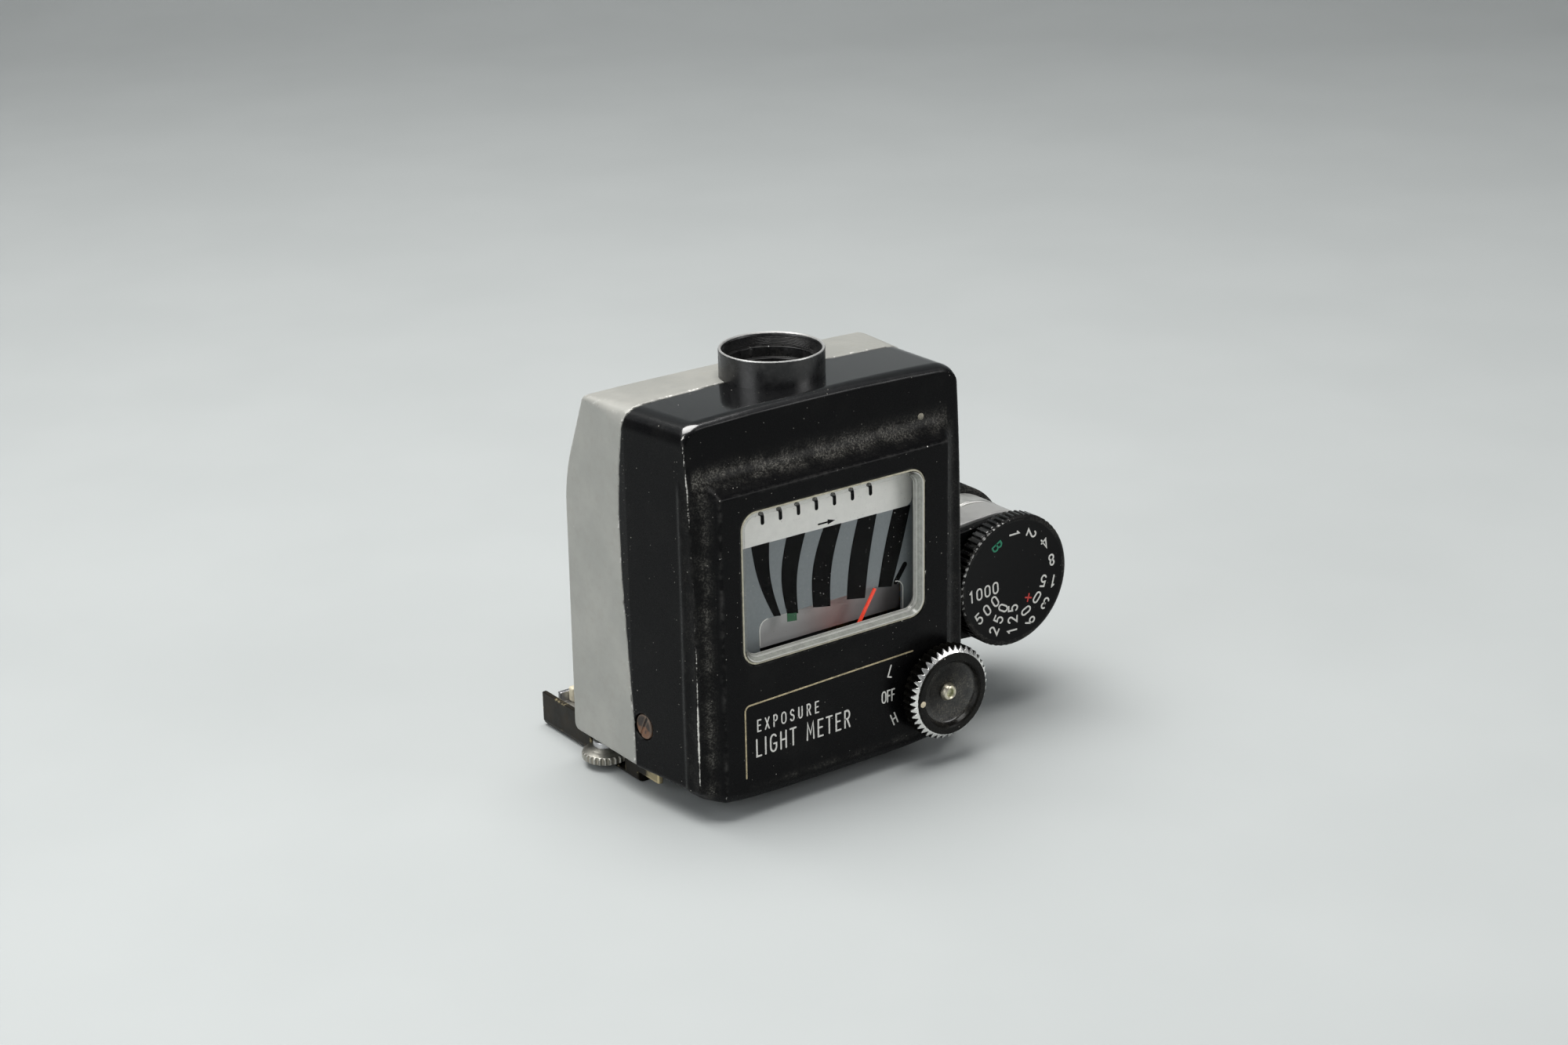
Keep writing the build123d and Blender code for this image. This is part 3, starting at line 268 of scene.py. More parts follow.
def rusty_screw():
    """Copper-coloured head, almost black with tarnish toward its low side."""
    g = Graph("tarnished_screw")
    spots = g.noise(0.9, 5.0, 0.7)
    light = g.add(spots, g.ramp(g.axis(2), 13.2, 10.2, -0.12, 0.14))
    base = g.mix(g.ramp(light, 0.45, 0.62), (0.014, 0.011, 0.010), (0.17, 0.080, 0.042))
    base = g.mix(g.mul(g.attribute("edge"), 0.5), base, (0.22, 0.16, 0.12))
    g.set(Base_Color=base, Metallic=0.35, Roughness=g.ramp(spots, 0.3, 0.7, 0.5, 0.7))
    g.bump(g.noise(2.5, 4.0, 0.7), 0.5, 0.00005)
    return g.mat


def baffle_material():
    """Satin plate behind the cut-out: grey to the left, darker to the right as painted shade, a faint red
    cast.
    """
    g = Graph("baffle_satin")
    x = g.axis(0)
    mottle = g.noise(1.5, 4.0, 0.6)
    cast = g.mul(g.ramp(x, -16.0, -8.5), g.ramp(x, -7.5, -3.0, 1.0, 0.0))
    # Painted shade: the plate gets darker toward the right.
    base = g.mix(g.ramp(x, -19.0, 2.0), (0.78, 0.78, 0.765), (0.42, 0.415, 0.41))
    base = g.mix(g.mul(cast, 0.5), base, (0.62, 0.38, 0.34))
    base = g.mix(g.mul(g.specks(1.0, 0.07, 0.75), 0.5), base, (0.5, 0.5, 0.48))
    g.set(Base_Color=base, Metallic=0.2, Roughness=g.ramp(mottle, 0.3, 0.7, 0.4, 0.55))
    g.bump(mottle, 0.06)
    return g.mat


def clear(name, tint=(0.02, 0.02, 0.02), alpha=0.015, rough=0.06):
    """Clear moulding: mostly see-through, with gloss, smears and dust specks."""
    g = Graph(name)
    smear = g.ramp(g.noise(0.5, 5.0, 0.7, g.stretched((1, 1, 0.3))), 0.5, 0.8)
    dots = g.max(g.specks(0.9, 0.075, 0.70), g.specks(2.0, 0.11, 0.80))
    film = g.add(g.mul(smear, 0.03), alpha)
    g.set(Base_Color=g.mix(dots, tint, (0.75, 0.74, 0.70)), Alpha=g.max(film, g.mul(dots, 0.85)),
          Roughness=g.ramp(smear, 0, 1, rough, rough + 0.15), IOR=1.49)
    return g.mat


def window_frame_material():
    """Clear moulding, made milky where the bare paint is set: painted light on the right and bottom bevels.
    Lighter on its edges as painted highlight lines, and darker in its grooves.
    """
    g = Graph("window_moulding")
    fine = g.noise(3.5, 5.0, 0.7)
    base = g.mix(g.ramp(g.noise(0.8, 5.0, 0.6), 0.35, 0.7), (0.30, 0.31, 0.28), (0.40, 0.41, 0.37))
    base = g.mix(g.mul(g.ramp(fine, 0.45, 0.65), 0.35), base, (0.50, 0.49, 0.44))
    base = g.mix(g.mul(g.attribute("hollow"), 0.6), base, (0.13, 0.125, 0.11))
    # Painted highlight lines where the edge paint is set.
    base = g.mix(g.mul(g.attribute("edge"), 0.7), base, (0.75, 0.74, 0.70))
    g.set(Base_Color=base, Roughness=0.22, Coat_Weight=0.5, Coat_Roughness=0.08,
          Alpha=g.blend(g.attribute("bare"), 0.10, 1.0))
    g.bump(fine, 0.12, 0.00005)
    return g.mat


def needle_material():
    g = Graph("needle_red")
    red = g.mix(g.ramp(g.noise(3.0, 3.0, 0.6), 0.3, 0.7), (0.78, 0.050, 0.022), (0.86, 0.075, 0.035))
    # The needle glows faintly: painted light.
    g.set(Base_Color=red, Roughness=0.35, Emission_Color=(0.9, 0.06, 0.03), Emission_Strength=0.35)
    return g.mat


def oxide_material():
    """Blackened sheet; the lacquer is gone from the bracket's end, where brass shows."""
    g = Graph("blackened_sheet")
    edge = g.attribute("edge")
    chips = g.noise(0.8, 5.0, 0.7)
    end = g.ramp(g.add(g.axis(1), g.mul(g.sub(chips, 0.5), 3.0)), -5.2, -3.2, 1.0, 0.0)
    worn = g.mul(edge, g.ramp(chips, 0.55, 0.68))
    bare = g.max(g.mul(end, g.ramp(edge, 0.0, 0.5, 0.55, 1.0)), worn)
    base = g.mix(g.ramp(g.noise(0.4, 4.0, 0.6), 0.35, 0.7), (0.008, 0.007, 0.005), (0.024, 0.019, 0.013))
    g.set(Base_Color=g.mix(bare, base, (0.66, 0.56, 0.34)), Metallic=g.add(0.3, g.mul(bare, 0.6)),
          Roughness=g.ramp(chips, 0.3, 0.7, 0.38, 0.55), Specular_IOR_Level=0.2)
    g.bump(chips, 0.2, 0.00005)
    return g.mat


def floor_material():
    g = Graph("pale_floor")
    tone = g.ramp(g.noise(0.02, 3.0, 0.5), 0.3, 0.7)
    g.set(Base_Color=g.mix(tone, (0.40, 0.42, 0.42), (0.415, 0.435, 0.435)), Roughness=0.45,
          Specular_IOR_Level=0.3)
    return g.mat


M = {}


def materials():
    M["black"] = worn_black("black_lacquer", rough=0.27)
    M["black_inner"] = worn_black("black_inside", rough=0.5, wear=0.3, dust=0.5)
    M["dial_black"] = worn_black("dial_black", rough=0.36, wear=0.9, dust=0.3, scratch=0.3,
                                 metal=(0.62, 0.61, 0.59), shine=0.10)
    M["knob_black"] = worn_black("knob_black", (0.0035, 0.0033, 0.0028), 0.26, 0.25, 0.9, 0.3,
                                 (0.2, 0.2, 0.2), 0.12, (0.155, 0.140, 0.110))
    M["tube_black"] = worn_black("tube_black", rough=0.28, wear=0.6, dust=0.35, scratch=0.4,
                                 metal=(0.85, 0.85, 0.83), shine=0.6)
    M["ring_black"] = worn_black("ring_black", rough=0.42, wear=0.4, dust=0.4, scratch=0.2)
    M["grey"] = plated_grey()
    M["arm_grey"] = plain("arm_grey", (0.40, 0.40, 0.39), 0.34, 0.40, 0.2, 0.03, bump=0.02)
    M["bright"] = metal("bright_aluminium", (0.93, 0.93, 0.90), 0.34, 0.04, 0.10, brushed=(1, 0.2, 1))
    M["trim"] = metal("knob_trim_bright", (0.95, 0.94, 0.91), 0.22, 0.06, 0.12)
    M["nickel"] = metal("satin_nickel", (0.42, 0.41, 0.37), 0.36, 0.12, 0.4)
    M["pin"] = metal("pin_nickel", (0.78, 0.72, 0.58), 0.30, 0.10, 0.5, (0.25, 0.30, 0.12))
    M["steel"] = metal("plain_steel", (0.52, 0.52, 0.53), 0.32, 0.08, 0.2)
    M["dark_steel"] = metal("oiled_steel", (0.12, 0.115, 0.11), 0.45, 0.15, 0.5, (0.03, 0.028, 0.025))
    M["brass"] = metal("plain_brass", (0.72, 0.53, 0.24), 0.30, 0.08, 0.25)
    M["copper"] = metal("copper_wire", (0.72, 0.34, 0.17), 0.32, 0.10, 0.2)
    M["rusty"] = rusty_screw()
    M["magnet"] = plain("sintered_magnet", (0.10, 0.10, 0.105), 0.55, 0.6)
    M["board"] = plain("phenolic_board", (0.20, 0.105, 0.04), 0.45, coat=0.3)
    M["insulator"] = plain("dark_moulding", (0.035, 0.016, 0.010), 0.35)
    M["felt"] = plain("black_felt", (0.012, 0.012, 0.012), 0.95, mottled=0.5, scale=7.0, bump=0.9)
    M["cell_face"] = plain("cell_face", (0.05, 0.035, 0.03), 0.25, coat=0.5)
    M["rivet"] = plain("dulled_rivet", (0.27, 0.25, 0.20), 0.6, 0.3, mottled=0.4, scale=3.0)
    M["cream"] = plain("cream_nylon", (0.62, 0.57, 0.43), 0.45, mottled=0.10)
    M["ivory"] = plain("ivory_line", (0.50, 0.47, 0.36), 0.38, mottled=0.22, scale=0.9)
    M["dot"] = plain("index_ivory", (0.74, 0.64, 0.46), 0.4, mottled=0.15, scale=3.0)
    M["frame_clear"] = window_frame_material()
    M["pane"] = clear("window_clear")
    M["lens"] = clear("cell_glass", (0.08, 0.09, 0.09), 0.45, 0.04)
    M["scale"] = plain("scale_grey", (0.225, 0.250, 0.258), 0.42, 0.0, 0.5, 0.05, 2.4)
    M["band"] = plain("scale_white", (0.93, 0.92, 0.87), 0.36, 0.0, 0.25, 0.03, 0.8)
    M["print_black"] = plain("print_black", (0.002, 0.002, 0.002), 0.6, 0.0, 0.5, 0.3, shine=0.1)
    M["print_green"] = plain("print_green", (0.020, 0.115, 0.045), 0.45, mottled=0.15)
    for paint_name, color, mottled in (("paint_white", (0.74, 0.73, 0.69), 0.10),
                                       ("paint_green", (0.006, 0.22, 0.115), 0.10),
                                       ("paint_red", (0.55, 0.030, 0.022), 0.15)):
        M[paint_name] = plain(paint_name, color, 0.45, mottled=mottled, scale=3.0)
    M["gold_line"] = plain("worn_gold_line", (0.50, 0.42, 0.26), 0.42, 0.35, mottled=0.35, scale=1.5)
    M["needle"] = needle_material()
    M["baffle"] = baffle_material()
    M["oxide"] = oxide_material()
    M["floor"] = floor_material()


# ----------------------------------------------------------------- mesh tools
def piece(name, verts, faces, body, mat, replaces, paint, sharp=35, normals=None):
    """A visible piece on its body; paint holds a number per vertex for each attribute."""
    mesh = bpy.data.meshes.new(name)
    mesh.from_pydata(put(verts).tolist(), [], faces if isinstance(faces, list) else faces.tolist())
    mesh.polygons.foreach_set("use_smooth", np.ones(len(mesh.polygons), bool))
    for key, values in paint.items():
        attribute = mesh.attributes.new(key, "FLOAT", "POINT")
        attribute.data.foreach_set("value", np.ascontiguousarray(values, dtype=np.float32))
    if normals is not None:
        mesh.normals_split_custom_set_from_vertices(normals.tolist())
    else:
        mesh.set_sharp_from_angle(angle=math.radians(sharp))
    mesh.update()
    mesh.materials.append(M[mat])
    ob = bpy.data.objects.new(name, mesh)
    bpy.context.scene.collection.objects.link(ob)
    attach(ob, body)
    if replaces:
        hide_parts(*replaces)


class Build:
    """Collects vertices, faces and painted attributes for one piece."""

    def __init__(self):
        self.verts, self.faces, self.count = [], [], 0
        self.paint = {"edge": [], "hollow": [], "bare": [], "gloss": []}

    def add(self, verts, faces, **paint):
        verts = np.asarray(verts, float)
        for key, rows in self.paint.items():
            rows.append(np.broadcast_to(paint.get(key, 0.0), len(verts)))
        self.verts.append(verts)
        self.faces += [[i + self.count for i in face] for face in faces]
        self.count += len(verts)
        return self

    def points(self):
        return np.vstack(self.verts)

    def repaint(self, **paint):
        for key, values in paint.items():
            self.paint[key] = [values]

    def done(self, name, body, slot, mat, replaces=(), sharp=35):
        paint = {key: np.concatenate(rows) for key, rows in self.paint.items()}
        piece(name, self.points(), self.faces, body, mat, replaces, paint, sharp)


def unit(rows):
    return rows / (np.linalg.norm(rows, axis=1)[:, None] + 1e-12)


def ring_faces(rows, count, wrap=False):
    """Quads between rows of count points that close on themselves; wrap joins last to first."""
    faces = []
    for row in range(rows if wrap else rows - 1):
        a, b = row * count, (row + 1) % rows * count
        faces += [[a + i, a + (i + 1) % count, b + (i + 1) % count, b + i] for i in range(count)]
    return faces


def rounded(profile, steps):
    """Rounds the corners of a polyline of (a, b[, radius]); also tells how each point turns."""
    pts = [np.array(p[:2], float) for p in profile]
    radii = [p[2] if len(p) > 2 else 0 for p in profile]
    out, turn = [pts[0]], [0.0]
    for before, p, after, radius in zip(pts, pts[1:], pts[2:], radii[1:]):
        u, w = before - p, after - p
        lu, lw = np.linalg.norm(u), np.linalg.norm(w)
        u, w = u / lu, w / lw
        half = math.acos(max(-1, min(1, float(u @ w)))) / 2
        if radius <= 0 or half > math.radians(88):
            out.append(p)
            turn.append(0.0)
            continue
        inset = min(radius / math.tan(half), 0.45 * lu, 0.45 * lw)
        a, b = p + u * inset, p + w * inset
        for t in np.linspace(0, 1, steps + 1):
            out.append((1 - t) ** 2 * a + 2 * t * (1 - t) * p + t * t * b)
            turn.append(math.copysign(1.0, u[0] * w[1] - u[1] * w[0]))
    return np.array(out + [pts[-1]]), np.array(turn + [0.0])


def lathe(b, profile, centre, axis="y", n=96, shape=None, steps=4):
    """Turns a profile of (r, t[, radius]) about y or z. shape(angle, r, t) may change r."""
    outline, turn = rounded(profile, steps)
    first, second = (0, 2) if axis == "y" else (0, 1)
    th = np.linspace(0, 2 * math.pi, n, endpoint=False)
    rings, faces, sign = [], [], []
    starts, count = [], 0
    for (r, t), side in zip(outline, turn):
        size = 1 if r < 1e-6 else n
        radius = np.full(size, r) if shape is None or size == 1 else shape(th, np.full(n, r), t)
        ring = np.full((size, 3), t, float)
        ring[:, first] = centre[0] + radius * np.cos(th[:size])
        ring[:, second] = centre[1] + radius * np.sin(th[:size])
        rings.append(ring)
        starts.append((count, size))
        sign += [side] * size
        count += size
    for (a, na), (c, nc) in zip(starts, starts[1:]):
        for i in range(n if max(na, nc) > 1 else 0):
            j = (i + 1) % n
            low = [a] if na == 1 else [a + i, a + j]
            high = [c] if nc == 1 else [c + j, c + i]
            faces.append(low + high)
    sign = np.array(sign)
    if axis == "y":
        faces = [f[::-1] for f in faces]
        sign = -sign
    return b.add(np.vstack(rings), faces, edge=np.clip(-sign, 0, 1), hollow=np.clip(sign, 0, 1))


def outline_points(outline, y):
    """Points (x, z) of an outline, set upright at one y."""
    return np.stack([outline[:, 0], np.full(len(outline), y), outline[:, 1]], 1)


def counter_clockwise(outline):
    o = np.asarray(outline, float)
    area = np.sum(o[:, 0] * np.roll(o[:, 1], -1) - np.roll(o[:, 0], -1) * o[:, 1])
    return o if area >= 0 else o[::-1]


# --------------------------------------------- signed distances to dense meshes
def smax(a, b, r):
    """Rounded maximum; the radius may vary from place to place."""
    return np.minimum(-r, np.maximum(a, b)) + np.hypot(np.maximum(a + r, 0), np.maximum(b + r, 0))


def smin(a, b, r):
    return -smax(-a, -b, r)


def carve(f, tool, r):
    """Takes the tool's space away from f."""
    return smax(f, -tool, r)


def common(*parts):
    return functools.reduce(np.maximum, parts)


def slab(v, lo, hi):
    return np.abs(v - (lo + hi) / 2) - (hi - lo) / 2


def disc(u, v, centre, radius):
    return np.hypot(u - centre[0], v - centre[1]) - radius


def rect(u, v, u0, u1, v0, v1, r=0.0):
    du, dv = slab(u, u0 + r, u1 - r), slab(v, v0 + r, v1 - r)
    return np.hypot(np.maximum(du, 0), np.maximum(dv, 0)) + np.minimum(np.maximum(du, dv), 0) - r


def path_distance(u, v, pts):
    distances = []
    for (u0, v0), (u1, v1) in zip(pts[:-1], pts[1:]):
        du, dv = u1 - u0, v1 - v0
        t = np.clip(((u - u0) * du + (v - v0) * dv) / (du * du + dv * dv), 0, 1)
        distances.append(np.hypot(u - u0 - t * du, v - v0 - t * dv))
    return functools.reduce(np.minimum, distances)


def gradient(f, p, e=0.02):
    g = np.empty_like(p)
    for k in range(3):
        a, c = p.copy(), p.copy()
        a[:, k] += e
        c[:, k] -= e
        g[:, k] = (f(*a.T) - f(*c.T)) / (2 * e)
    return g


def grid_cells(F, lo, h):
    """Cells of the grid that the surface crosses: their ids, and a first point in each."""
    n = np.array(F.shape)
    corners = np.array([(i, j, k) for i in (0, 1) for j in (0, 1) for k in (0, 1)])
    total = np.zeros(n - 1, np.uint8)
    for i, j, k in corners:
        total += F[i:n[0] - 1 + i, j:n[1] - 1 + j, k:n[2] - 1 + k] < 0
    active = (total > 0) & (total < 8)
    cells = np.argwhere(active)
    ids = np.full(active.shape, -1, np.int64)
    ids[active] = np.arange(len(cells))
    values = np.stack([F[tuple((cells + c).T)] for c in corners], 1).astype(float)
    crossing, count = np.zeros((len(cells), 3)), np.zeros(len(cells))
    for a in range(8):
        for c in range(a + 1, 8):
            if np.abs(corners[a] - corners[c]).sum() != 1:
                continue
            m = (values[:, a] < 0) != (values[:, c] < 0)
            t = values[m, a] / (values[m, a] - values[m, c])
            crossing[m] += corners[a] + t[:, None] * (corners[c] - corners[a])
            count[m] += 1
    return ids, lo + h * (cells + crossing / count[:, None])


def grid_quads(F, ids):
    """A quad for each edge of the grid that the surface crosses, between its four cells."""
    inner, quads = F < 0, []
    for k in range(3):
        a, c = (k + 1) % 3, (k + 2) % 3
        pos = np.argwhere(np.diff(inner, axis=k))
        last_a, last_c = F.shape[a] - 1, F.shape[c] - 1
        pos = pos[(pos[:, a] > 0) & (pos[:, c] > 0) & (pos[:, a] < last_a) & (pos[:, c] < last_c)]
        around = []
        for da, dc in ((-1, -1), (0, -1), (0, 0), (-1, 0)):
            cell = pos.copy()
            cell[:, a] += da
            cell[:, c] += dc
            around.append(ids[tuple(cell.T)])
        quad = np.stack(around, 1)
        outward = ~inner[tuple(pos.T)]
        quad[outward] = quad[outward][:, ::-1]
        quads.append(quad)
    return np.vstack(quads)


def relaxed(p, quads):
    """Each point moved halfway to the mean of its neighbours."""
    total, count = np.zeros_like(p), np.zeros(len(p))
    for i in range(4):
        j = (i + 1) % 4
        for here, there in ((i, j), (j, i)):
            np.add.at(total, quads[:, here], p[quads[:, there]])
            np.add.at(count, quads[:, here], 1)
    return 0.5 * p + 0.5 * total / count[:, None]


PAINT_REACH = 0.33                  # distance over which a surface's bend is measured


def skin(name, f, lo, hi, h, body, mat, replaces=(), wear=None):
    """Meshes f < 0 with a smooth quad skin, its exact normals and edge/hollow paint."""
    lo, hi = np.array(lo, float) - 1.5 * h, np.array(hi, float) + 1.5 * h
    n = np.ceil((hi - lo) / h).astype(int) + 1
    xs, ys, zs = (lo[k] + h * np.arange(n[k]) for k in range(3))
    Y, Z = np.meshgrid(ys, zs, indexing="ij")
    F = np.empty(n, np.float32)
    for i, x in enumerate(xs):
        F[i] = f(np.full(Y.size, x), Y.ravel(), Z.ravel()).reshape(Y.shape)
    F[F == 0] = 1e-6
    ids, p = grid_cells(F, lo, h)
    quads = grid_quads(F, ids)
    for step in range(3):
        if step:
            p = relaxed(p, quads)
        for _ in range(2):
            g = gradient(f, p)
            move = (f(*p.T) / ((g * g).sum(1) + 1e-6))[:, None] * g
            size = np.linalg.norm(move, axis=1)[:, None]
            p = p - move * np.minimum(1, 0.4 * h / (size + 1e-9))
    g = gradient(f, p)
    normals = g / (np.linalg.norm(g, axis=1)[:, None] + 1e-9)
    bend = -6 * f(*p.T)
    for k in range(3):
        for e in (-PAINT_REACH, PAINT_REACH):
            q = p.copy()
            q[:, k] += e
            bend = bend + f(*q.T)
    bend = bend / PAINT_REACH
    paint = {"edge": np.clip(bend * 0.9 - 0.12, 0, 1), "hollow": np.clip(-bend * 1.1 - 0.03, 0, 1)}
    if wear:
        paint.update(wear(p, normals, paint))
    print(name, "quads", len(quads))
    piece(name, p, quads, body, mat, replaces, paint, normals=normals)


# ------------------------------------------------------------ housing outlines
def low_edge(x):
    return np.minimum(2.2 + 3.0 * (x / HALF_WIDTH) ** 2, 4.55)


def high_edge(x):
    return 60.9 - 1.4 * (x / HALF_WIDTH) ** 2


def face_y(z):
    """Cover's front face, which leans back toward its top."""
    return 2.0 + 1.35 * (np.clip(z - 20.0, 0, 40) / 38.6) ** 1.9


def cover_left(z, depth):
    """Cover's left wall, as a distance from the middle; it draws in toward the front."""
    flare = 0.045 * np.clip(z - 50.0, 0, 10)
    return HALF_WIDTH - depth * (0.125 - 0.06 * flare)


def arm2d(x, z, r, root_x, root_half):
    """Dial arm's outline: a disc on the dial, with tangents down to its root."""
    dx, dz = x - DIAL[0], np.abs(z - DIAL[1])
    th = math.asin((root_half - r) / (DIAL[0] - root_x))
    s, c = math.sin(-th), math.cos(th)
    along = dx * c - dz * s
    return np.where(along > 0, np.hypot(dx, dz) - r, dx * s + dz * c - r)


def cover_body(x, y, z):
    depth = np.clip(SEAM_Y - y, 0, 20)
    left = -x - cover_left(z, depth)
    right = x - (HALF_WIDTH - 0.006 * depth)
    uneven = 0.04 * np.sin(z * 0.21 + 1.0) * np.clip(depth / 8, 0, 1)
    side = np.maximum(left, right) * 0.995 + uneven
    top = smax(z - high_edge(x), z - (60.35 - (y - 4.9) * 0.036), 2.0)
    ring = smax(smax(side, low_edge(x) - z, 0.9), top, 3.2)
    radius = 0.38 + 1.2 * np.clip((z - 57.0) / 2.5, 0, 1) + 0.5 * np.clip((7.0 - z) / 3.0, 0, 1)
    return smax(ring, face_y(z) - y, radius + 0.45 * np.clip(x / 20, 0, 1))


def plateau_form(x, y, z):
    slope = 0.80
    side = (rect(x, z, *PLATEAU, 0.35) - slope * y) / math.hypot(1, slope)
    low = 1.85 + 0.65 * (x / 19.5) ** 4 - z
    return smax(smax(smax(-y, side, 0.2), low, 2.7), y - 4.3, 0.3)


def seam(x, z):
    """The joint bows back along the left wall."""
    bow = np.interp(z, (8, 13, 22, 33, 43, 51, 56, 59), (0, 0.1, 0.85, 1.7, 2.0, 1.35, 0.55, 0))
    return SEAM_Y + bow * np.clip((-x - 20.5) / 3.5, 0, 1)


def cover_field(x, y, z):
    outer = smin(cover_body(x, y, z), plateau_form(x, y, z), 0.95)
    arm = smax(arm2d(x, z, 9.45, 22.6, 10.6), slab(y, 8.6, 10.1), 0.45)
    arm = smax(arm, 22.8 - x, 0.2)
    f = smin(carve(outer, outer + COVER_WALL, 0.1), arm, 0.5)
    f = smax(f, y - seam(x, z) + 0.03, 0.15)
    f = carve(f, rect(x, z, *WINDOW, WINDOW_RADIUS), 0.16)
    f = carve(f, common(disc(x, z, KNOB, 2.6), y - 4), 0.1)
    f = carve(f, common(disc(x, y, TUBE, TUBE_BORE), 55 - z), 0.1)
    f = carve(f, common(disc(x, z, DIAL, DIAL_BORE), 20 - x), 0.05)
    hatch = common(23.0 - x, 10.12 - y, np.abs(z - DIAL[1]) - 10.4)
    f = carve(f, hatch, 0.05)
    for side, screw_z in SIDE_SCREWS:
        hole = disc(y, z, (SCREW_Y, screw_z), 0)
        f = carve(f, common(hole - 2.0, 24.12 - side * x), 0.12)
        f = carve(f, common(hole - 1.0, 20.0 - side * x), 0.05)
    return f


def shell_outer(x, y, z, inset=0.0):
    side = np.abs(x) - HALF_WIDTH + inset
    low = low_edge(x) + inset - z
    top = smax(z - high_edge(x) + inset, z - (59.95 - inset - 0.09 * (y - SEAM_Y)), 1.5)
    slant = 0.922 * y + 0.3876 * z - 47.5 + inset
    rear = smax(y - 32.6 + inset - 0.01 * (35 - z), slant, 2.0)
    rear = smax(rear, low, 1.6)
    back = np.clip((y - SEAM_Y) / 9.0, 0, 1)
    body = smax(smax(side, low, 0.8), top, 3.3 - 2.3 * back)
    return smax(body, rear, 0.9)


def shell_field(x, y, z):
    f = carve(shell_outer(x, y, z), shell_outer(x, y, z, SHELL_WALL), 0.1)
    f = smax(f, seam(x, z) + 0.03 - y, 0.15)
    f = carve(f, common(np.abs(x) - 23.8, 30.0 - y, slab(z, 8.0, 53.0)), 0.25)
    f = carve(f, common(np.abs(x) - 19.6, 23.2 - y, z - 9.0), 0.25)
    f = carve(f, common(disc(x, y, TUBE, TUBE_BORE), 50 - z), 0.1)
    return carve(f, common(disc(x, y, WHEEL, 1.06), z - 9.5), 0.05)


def bell(*offsets):
    """1 where every (distance, reach) pair is at zero distance, falling off as a bell curve."""
    return np.exp(-sum((distance / reach) ** 2 for distance, reach in offsets))


def cover_wear(p, normals, paint):
    """Bare left front corner and plateau corners, powder above and left of the plateau, glossy top; a painted
    highlight along the plateau's left edge, and light bands along the plateau's bottom bend that are dust and
    painted highlight.
    """
    x, y, z = p.T
    left, top = PLATEAU[0], PLATEAU[3]
    edge = paint["edge"]
    line = cover_left(z, SEAM_Y - face_y(z))
    ends = np.clip((z - 5.2) / 1.0, 0, 1) * np.clip((60.0 - z) / 0.8, 0, 1)
    strong = 0.62 + 0.16 * np.sin(z * 0.9) * np.sin(z * 0.37 + 1) - 0.2 * bell((z - 40, 6.0))
    strong = strong + np.clip((22 - z) / 14, 0, 0.3) + 0.2 * bell((z - 54, 3.0))
    corner = bell((x + line - 0.02, 0.20), (y - face_y(z) - 0.06, 0.22))
    along, across = (x + 23.8 + z - 58.2) * 0.707, (x + 23.8 - z + 58.2) * 0.707
    bare = common(
        corner * ends * np.clip(strong, 0.1, 1.1),
        0.95 * bell((along, 1.25), (across, 0.8), (y - 3.7, 0.42)),
        0.75 * bell((x - left + 0.2, 0.6), (z - top - 0.2, 0.6)) * edge,
        0.8 * bell((x - left, 0.6), (z - 4.0, 0.8)) * edge,
        0.7 * bell((x + 23.9, 0.6), (y - 15.9, 0.3), (z - 58.4, 0.9)))
    hidden = (y > 15.4) | (np.abs(normals[:, 1]) > 0.9) & (y > 3.0)
    out = rect(x, z, *PLATEAU, 0.35)
    band = bell((out - 2.3, 1.5)) * (out > 0.4) * (y > 0.6) * (y < 4.2)
    above = bell((np.clip(z - 51.7, -3.9, 3.9), 1.3)) * np.clip((y - 0.9) / 0.8, 0, 1)
    above = above * (np.abs(x) < 22.5) * (y < 4.0) * (1.0 - 0.008 * (x - left))
    beside = bell((x + 21.5, 0.45)) * (x < -20.2) * (y < 4.2) * (z < 50)
    hollow = np.clip(np.maximum(0.16 * band, above) + 0.5 * beside + 0.1 * paint["hollow"], 0, 1)
    # Light bands along the plateau's bottom bend: dust and a painted highlight, carried in the hollow paint.
    bend = bell((z - 4.6, 0.5)) * (y < 1.2) * (out < 0) + bell((z - 2.1, 0.35)) * (y < 3.0)
    hollow = np.maximum(hollow, 0.35 * bend * (x > -16))
    # Painted highlight along the plateau's left edge, put into the edge paint so that it shows as rubbed
    # colour.
    rim = bell((out + 0.05, 0.25)) * (x < -18) * (z < 49)
    return {"bare": bare * ~hidden, "edge": np.maximum(edge, 0.9 * rim) * ~hidden,
            "hollow": hollow * (normals[:, 1] < 0.3),
            "gloss": np.clip((normals[:, 2] - 0.45) / 0.4, 0, 1) * (z > 55.5)}


def shell_wear(p, normals, paint):
    return {"edge": paint["edge"] * 0.9}


def housing():
    skin("top_cover_skin", cover_field, (-25.2, -0.2, 1.5), (48, 18.3, 61.2), 0.25,
         "housing", "black", ["top_cover"], cover_wear)
    skin("body_shell_skin", shell_field, (-25.3, 15.8, 1.5), (25.3, 33.1, 61.2), 0.32,
         "housing", "grey", ["body_shell"], shell_wear)


# ------------------------------------------------------------- small lettering
def arc(cx, cy, rx, ry, start, end, n=10):
    """Points along an ellipse's arc, between two angles in degrees."""
    angles = np.radians(np.linspace(start, end, n))
    return [(cx + rx * math.cos(a), cy + ry * math.sin(a)) for a in angles]


def round_letter(x, rx, high, low, ry):
    """A narrow closed ring: half an ellipse over half an ellipse."""
    return [arc(x, high, rx, ry, 0, 180, 9) + arc(x, low, rx, ry, 180, 360, 9)]


def bowl(x, y, rx, ry):
    return arc(x, y, rx, ry, 90, -90, 8)


